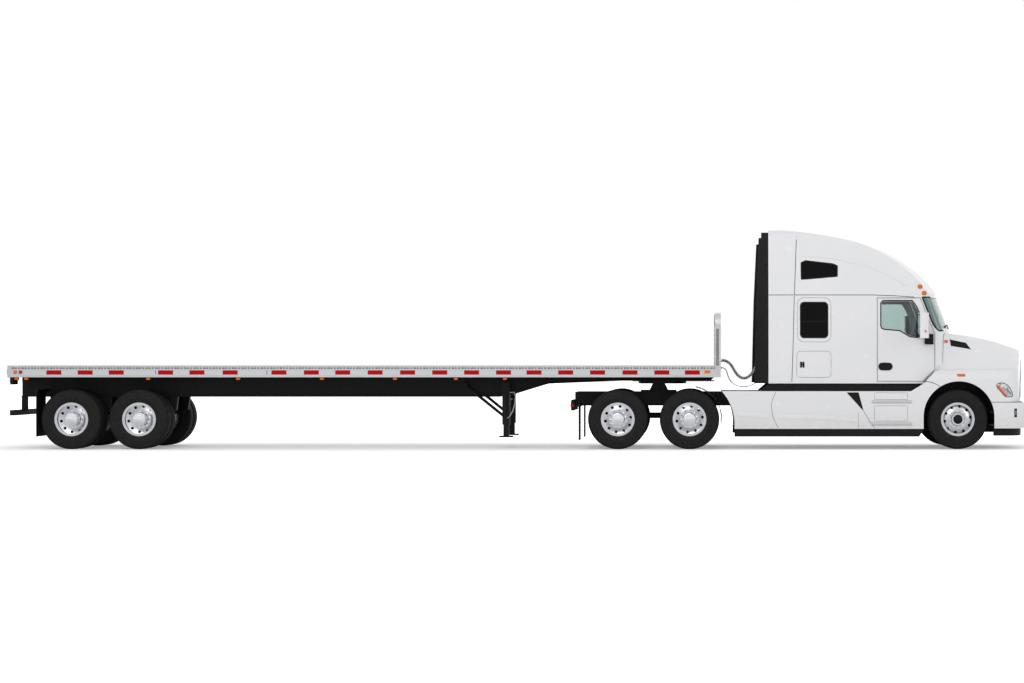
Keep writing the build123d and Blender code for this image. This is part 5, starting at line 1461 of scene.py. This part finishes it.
        def fill(bm):
            for y in (-1.245, 1.245):
                prism(bm, rounded(y - 0.022, y + 0.022, 1.375, 1.475, 0.012), x - 0.014, x, axis="x")
            for y in (-0.16, 0.0, 0.16):
                prism(bm, rounded(y - 0.032, y + 0.032, 1.420, 1.450, 0.010), x - 0.014, x, axis="x")
            for y in (-0.960, -1.120, 0.960, 1.120):
                turned(bm, [(0.0, 0.014), (0.040, 0.012), (0.054, 0.0)], (x + 0.015, y, 1.255), (-1, 0, 0), 28)
            box(bm, (x + 0.006, 0.52, 1.140), (x + 0.012, 0.83, 1.300), 1)
            box(bm, (x + 0.010, 0.60, 1.290), (x + 0.016, 0.75, 1.330), 2)
        piece("trailer_tail_lamps", fill, ("red", "mill", "black"), "trailer", 40.0)


class SkirtTrim(bpy.types.Operator):
    """Add the seams, the dark wedge, painted shade round the recessed panels, the step treads and the soft crease of
    the chassis fairings
    """
    bl_idname = "lorry.skirt_trim"
    bl_label = "Fairing trim"

    front_seam = ((4.699, 1.055), (4.640, 0.930), (4.609, 0.822), (4.640, 0.600), (4.743, 0.385))
    diagonal = ((6.308, 0.703), (6.410, 0.530), (6.515, 0.385))
    wedge = ((5.995, 1.047), (6.217, 1.047), (6.308, 0.703))
    # Outlines of the two recessed panels by the steps; the black strips laid round them are painted shade of the
    # recesses' edges
    step_panel_shade_outline = ((6.510, 1.040), (7.120, 1.040), (7.120, 0.915), (6.510, 0.915))
    lower_panel_shade_outline = ((6.510, 0.800), (7.120, 0.800), (7.120, 0.520), (6.510, 0.520))

    def execute(self, context):
        skirt = surface("chassis_fairings")
        for side, sign in SIDES:
            def dark(bm):
                for points in (self.front_seam, self.diagonal):
                    side_strip(bm, skirt, dense(points, 0.08), sign, 0.007, 0.0015)
                side_strip(bm, skirt, dense(((6.212, 0.690), (6.212, 0.385)), 0.1), sign, 0.004, 0.001)
                side_plate(bm, skirt, self.wedge, sign, 0.002, 0)
                # Black strips round the recessed panels: painted shade where the recesses' edges fall
                for points in (self.step_panel_shade_outline, self.lower_panel_shade_outline):
                    side_strip(bm, skirt, dense(points, 0.1, True), sign, 0.005, 0.0012, closed=True)
            piece(f"skirt_seams_and_recess_shade_{side}", dark, ("plastic",), "tractor", 50.0)

            def crease(bm):
                for points in (((3.990, 0.640), (4.560, 0.600)), ((4.690, 0.595), (5.600, 0.575), (6.200, 0.520))):
                    side_strip(bm, skirt, dense(points, 0.1), sign, 0.090, 0.005, crown=0.6)
            piece(f"skirt_crease_{side}", crease, ("white",), "tractor", 80.0)

            def steps(bm):
                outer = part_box("chassis_fairings")[1].y + 0.004
                for z in (0.858, 0.452):
                    low, high = sorted((sign * 1.140, sign * outer))
                    prism(bm, rounded(low, high, z - 0.010, z + 0.042, 0.012), 6.455, 7.195, axis="x")
                    for index in range(23):
                        x = 6.475 + 0.0315 * index
                        box(bm, (x, sign * 1.150, z + 0.041), (x + 0.012, sign * (outer - 0.012), z + 0.0445), 1)
            piece(f"step_treads_{side}", steps, ("mill", "plastic"), "tractor", bevel=0.003)
        return {"FINISHED"}


class DeckTrim(bpy.types.Operator):
    """Add the tape, slots, ribs and stake pockets of the deck's edge, and the sheet and bolts of the headboard"""
    bl_idname = "lorry.deck_trim"
    bl_label = "Deck and headboard trim"

    red_starts = (-8.690, -8.115, -7.545, -6.640, -6.065, -5.455, -4.560, -3.965, -3.390, -2.795, -2.200,
                  -1.610, -1.025, -0.440, 0.120, 0.700, 1.285, 1.880, 2.465, 3.025)

    def execute(self, context):
        settings = context.scene.lorry_tape
        for side, sign in SIDES:
            self.tape(side, sign, settings)
            self.edge(side, sign)
        self.headboard()
        self.floor_rows()
        self.rear()
        return {"FINISHED"}

    def tape(self, side, sign, settings):
        """Red and white reflective blocks along the rail."""
        y = sign * RAIL_HIGH.y
        end = RAIL_HIGH.x - 0.345

        def blocks(bm):
            white_from = RAIL_LOW.x + 0.300
            for start in self.red_starts:
                start = min(start, end - settings.block)
                self.strip(bm, start, start + settings.block, y, sign, settings, 0)
                if start - white_from > 0.02:
                    self.strip(bm, white_from + 0.004, start - 0.004, y, sign, settings, 1)
                white_from = start + settings.block
            self.strip(bm, white_from + 0.004, end, y, sign, settings, 1)
        piece(f"reflective_tape_{side}", blocks, ("red_tape", "white_tape"), "trailer")

    def strip(self, bm, start, stop, y, sign, settings, material):
        """One block of tape."""
        box(bm, (start, y - sign * 0.001, settings.low), (stop, y + sign * 0.0012, settings.high), material)

    def edge(self, side, sign):
        """Long ribs of the rail's extrusion and the row of slots under its top."""
        y = sign * RAIL_HIGH.y

        def ribs(bm):
            for low, high, depth in ((1.524, 1.540, 0.006), (1.462, 1.474, 0.005), (1.325, 1.352, 0.008)):
                box(bm, (RAIL_LOW.x + 0.002, y - sign * 0.001, low), (RAIL_HIGH.x - 0.002, y + sign * depth, high))
            for x in (RAIL_HIGH.x - 0.060, RAIL_LOW.x + 0.040):
                box(bm, (x, y - sign * 0.001, 1.352), (x + 0.008, y + sign * 0.006, 1.524))
        piece(f"rail_ribs_{side}", ribs, ("mill",), "trailer", bevel=0.002)

        def slots(bm):
            pitch = 0.0585
            count = int((RAIL_HIGH.x - RAIL_LOW.x - 0.15) / pitch)
            for index in range(count):
                x = RAIL_LOW.x + 0.08 + index * pitch
                length = 0.034 if index % 3 else 0.046
                box(bm, (x, y - sign * 0.001, 1.484), (x + length, y + sign * 0.0008, 1.503))
            for x in (-6.690, -4.650):
                box(bm, (x, y, 1.380), (x + 0.012, y + sign * 0.002, 1.450))
        piece(f"rail_slots_{side}", slots, ("black",), "trailer")

    def headboard(self):
        """Corrugations on the headboard's sheet, bolts up its frame and a row of bolts along its top."""
        low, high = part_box("headboard")
        edge = 0.035

        def fill(bm):
            for sign in (-1, 1):
                for index in range(9):
                    z = 1.50 + 0.09 * index
                    turned(bm, BOLT_HEAD, (low.x, sign * (high.y - edge), z), (-1, 0, 0), 10)
                    turned(bm, BOLT_HEAD, ((low.x + high.x) / 2 + 0.02, sign * high.y, z), (0, sign, 0), 10)
            for index in range(20):
                turned(bm, BOLT_HEAD, (low.x, -0.95 + 0.1 * index, high.z - edge), (-1, 0, 0), 10)
        piece("headboard_bolts", fill, ("mill",), "trailer")

        def ridges(bm):
            for sign in (-1, 1):
                for x in (low.x + 0.022, low.x + 0.040, low.x + 0.058):
                    box(bm, (x, sign * (high.y - 0.001), low.z + 0.14),
                        (x + 0.008, sign * (high.y + 0.004), high.z - 0.30))
        piece("headboard_ridges", ridges, ("black",), "trailer", bevel=0.001)

    def floor_rows(self):
        """Rows of floor screws and the three nailing strips along the deck."""
        low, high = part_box("deck")
        top = high.z
        rows = 30

        def fill(bm):
            for index in range(rows):
                x = low.x + 0.08 + index * (high.x - low.x - 0.16) / (rows - 1)
                for step in range(-8, 9):
                    turned(bm, SCREW_HEAD, (x, step * 0.14 + 0.035, top), (0, 0, 1), 6)
        piece("deck_screws", fill, ("mill",), "trailer")

        def strips(bm):
            for y in (-0.62, 0.0, 0.62):
                box(bm, (low.x + 0.01, y - 0.030, top - 0.001), (high.x - 0.01, y + 0.030, top + 0.002))
        piece("deck_strips", strips, ("mill",), "trailer", bevel=0.0008)

    def rear(self):
        """Red and white tape on the rear sill and on the rear guard."""
        def fill(bm):
            for x, low, high in ((RAIL_LOW.x, 1.345, 1.395), (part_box("trailer_frame")[0].x, 0.645, 0.695)):
                for index in range(8):
                    y = -1.13 + 0.2825 * index
                    box(bm, (x - 0.0012, y, low), (x + 0.001, y + 0.2765, high), index % 2)
        piece("rear_tape", fill, ("red_tape", "white_tape"), "trailer")


class GearTrim(bpy.types.Operator):
    """Add the landing gear's crank"""
    bl_idname = "lorry.gear_trim"
    bl_label = "Landing gear trim"

    def execute(self, context):
        def crank(bm):
            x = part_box("landing_gear")[1].x
            points = [(x - 0.055, -0.735, 1.040), (x + 0.030, -0.740, 1.045), (x + 0.050, -0.742, 0.960),
                      (x + 0.040, -0.742, 0.830), (x + 0.005, -0.742, 0.700), (x - 0.060, -0.735, 0.590),
                      (x - 0.100, -0.730, 0.560)]
            tube(bm, points, 0.009, 10)
        piece("landing_gear_crank", crank, ("mill",), "trailer", 60.0)
        return {"FINISHED"}


class LORRY_PT_panel(bpy.types.Panel):
    """The lorry's pieces and their settings"""
    bl_label = "Flatbed lorry"
    bl_idname = "LORRY_PT_panel"
    bl_space_type = "VIEW_3D"
    bl_region_type = "UI"
    bl_category = "Lorry"

    def draw(self, context):
        for name, _ in SETTINGS:
            group = getattr(context.scene, name)
            for key in group.bl_rna.properties.keys():
                if key not in ("rna_type", "name"):
                    self.layout.prop(group, key)
        for operator in OPERATORS:
            self.layout.operator(operator.bl_idname)


SETTINGS = (("lorry_stage", StageSettings), ("lorry_paint", PaintSettings), ("lorry_tyres", TyreSettings),
            ("lorry_tape", TapeSettings), ("lorry_seams", SeamSettings))
OPERATORS = (Stage, Hoses, Finishes, Tyres, WheelFittings, Seams, CabTrim, Cushions, FrontTrim, Lamps, SkirtTrim,
             DeckTrim, GearTrim)


def register():
    for name, group in SETTINGS:
        bpy.utils.register_class(group)
        setattr(bpy.types.Scene, name, PointerProperty(type=group))
    for operator in OPERATORS:
        bpy.utils.register_class(operator)
    bpy.utils.register_class(LORRY_PT_panel)


def unregister():
    bpy.utils.unregister_class(LORRY_PT_panel)
    for operator in reversed(OPERATORS):
        bpy.utils.unregister_class(operator)
    for name, group in reversed(SETTINGS):
        delattr(bpy.types.Scene, name)
        bpy.utils.unregister_class(group)


def main():
    """Run every operator in order."""
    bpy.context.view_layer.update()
    register()
    for operator in OPERATORS:
        group, name = operator.bl_idname.split(".")
        if getattr(getattr(bpy.ops, group), name)() != {"FINISHED"}:
            raise RuntimeError(f"{operator.bl_label} did not finish")
    bpy.context.view_layer.update()


if __name__ == "__main__":
    main()
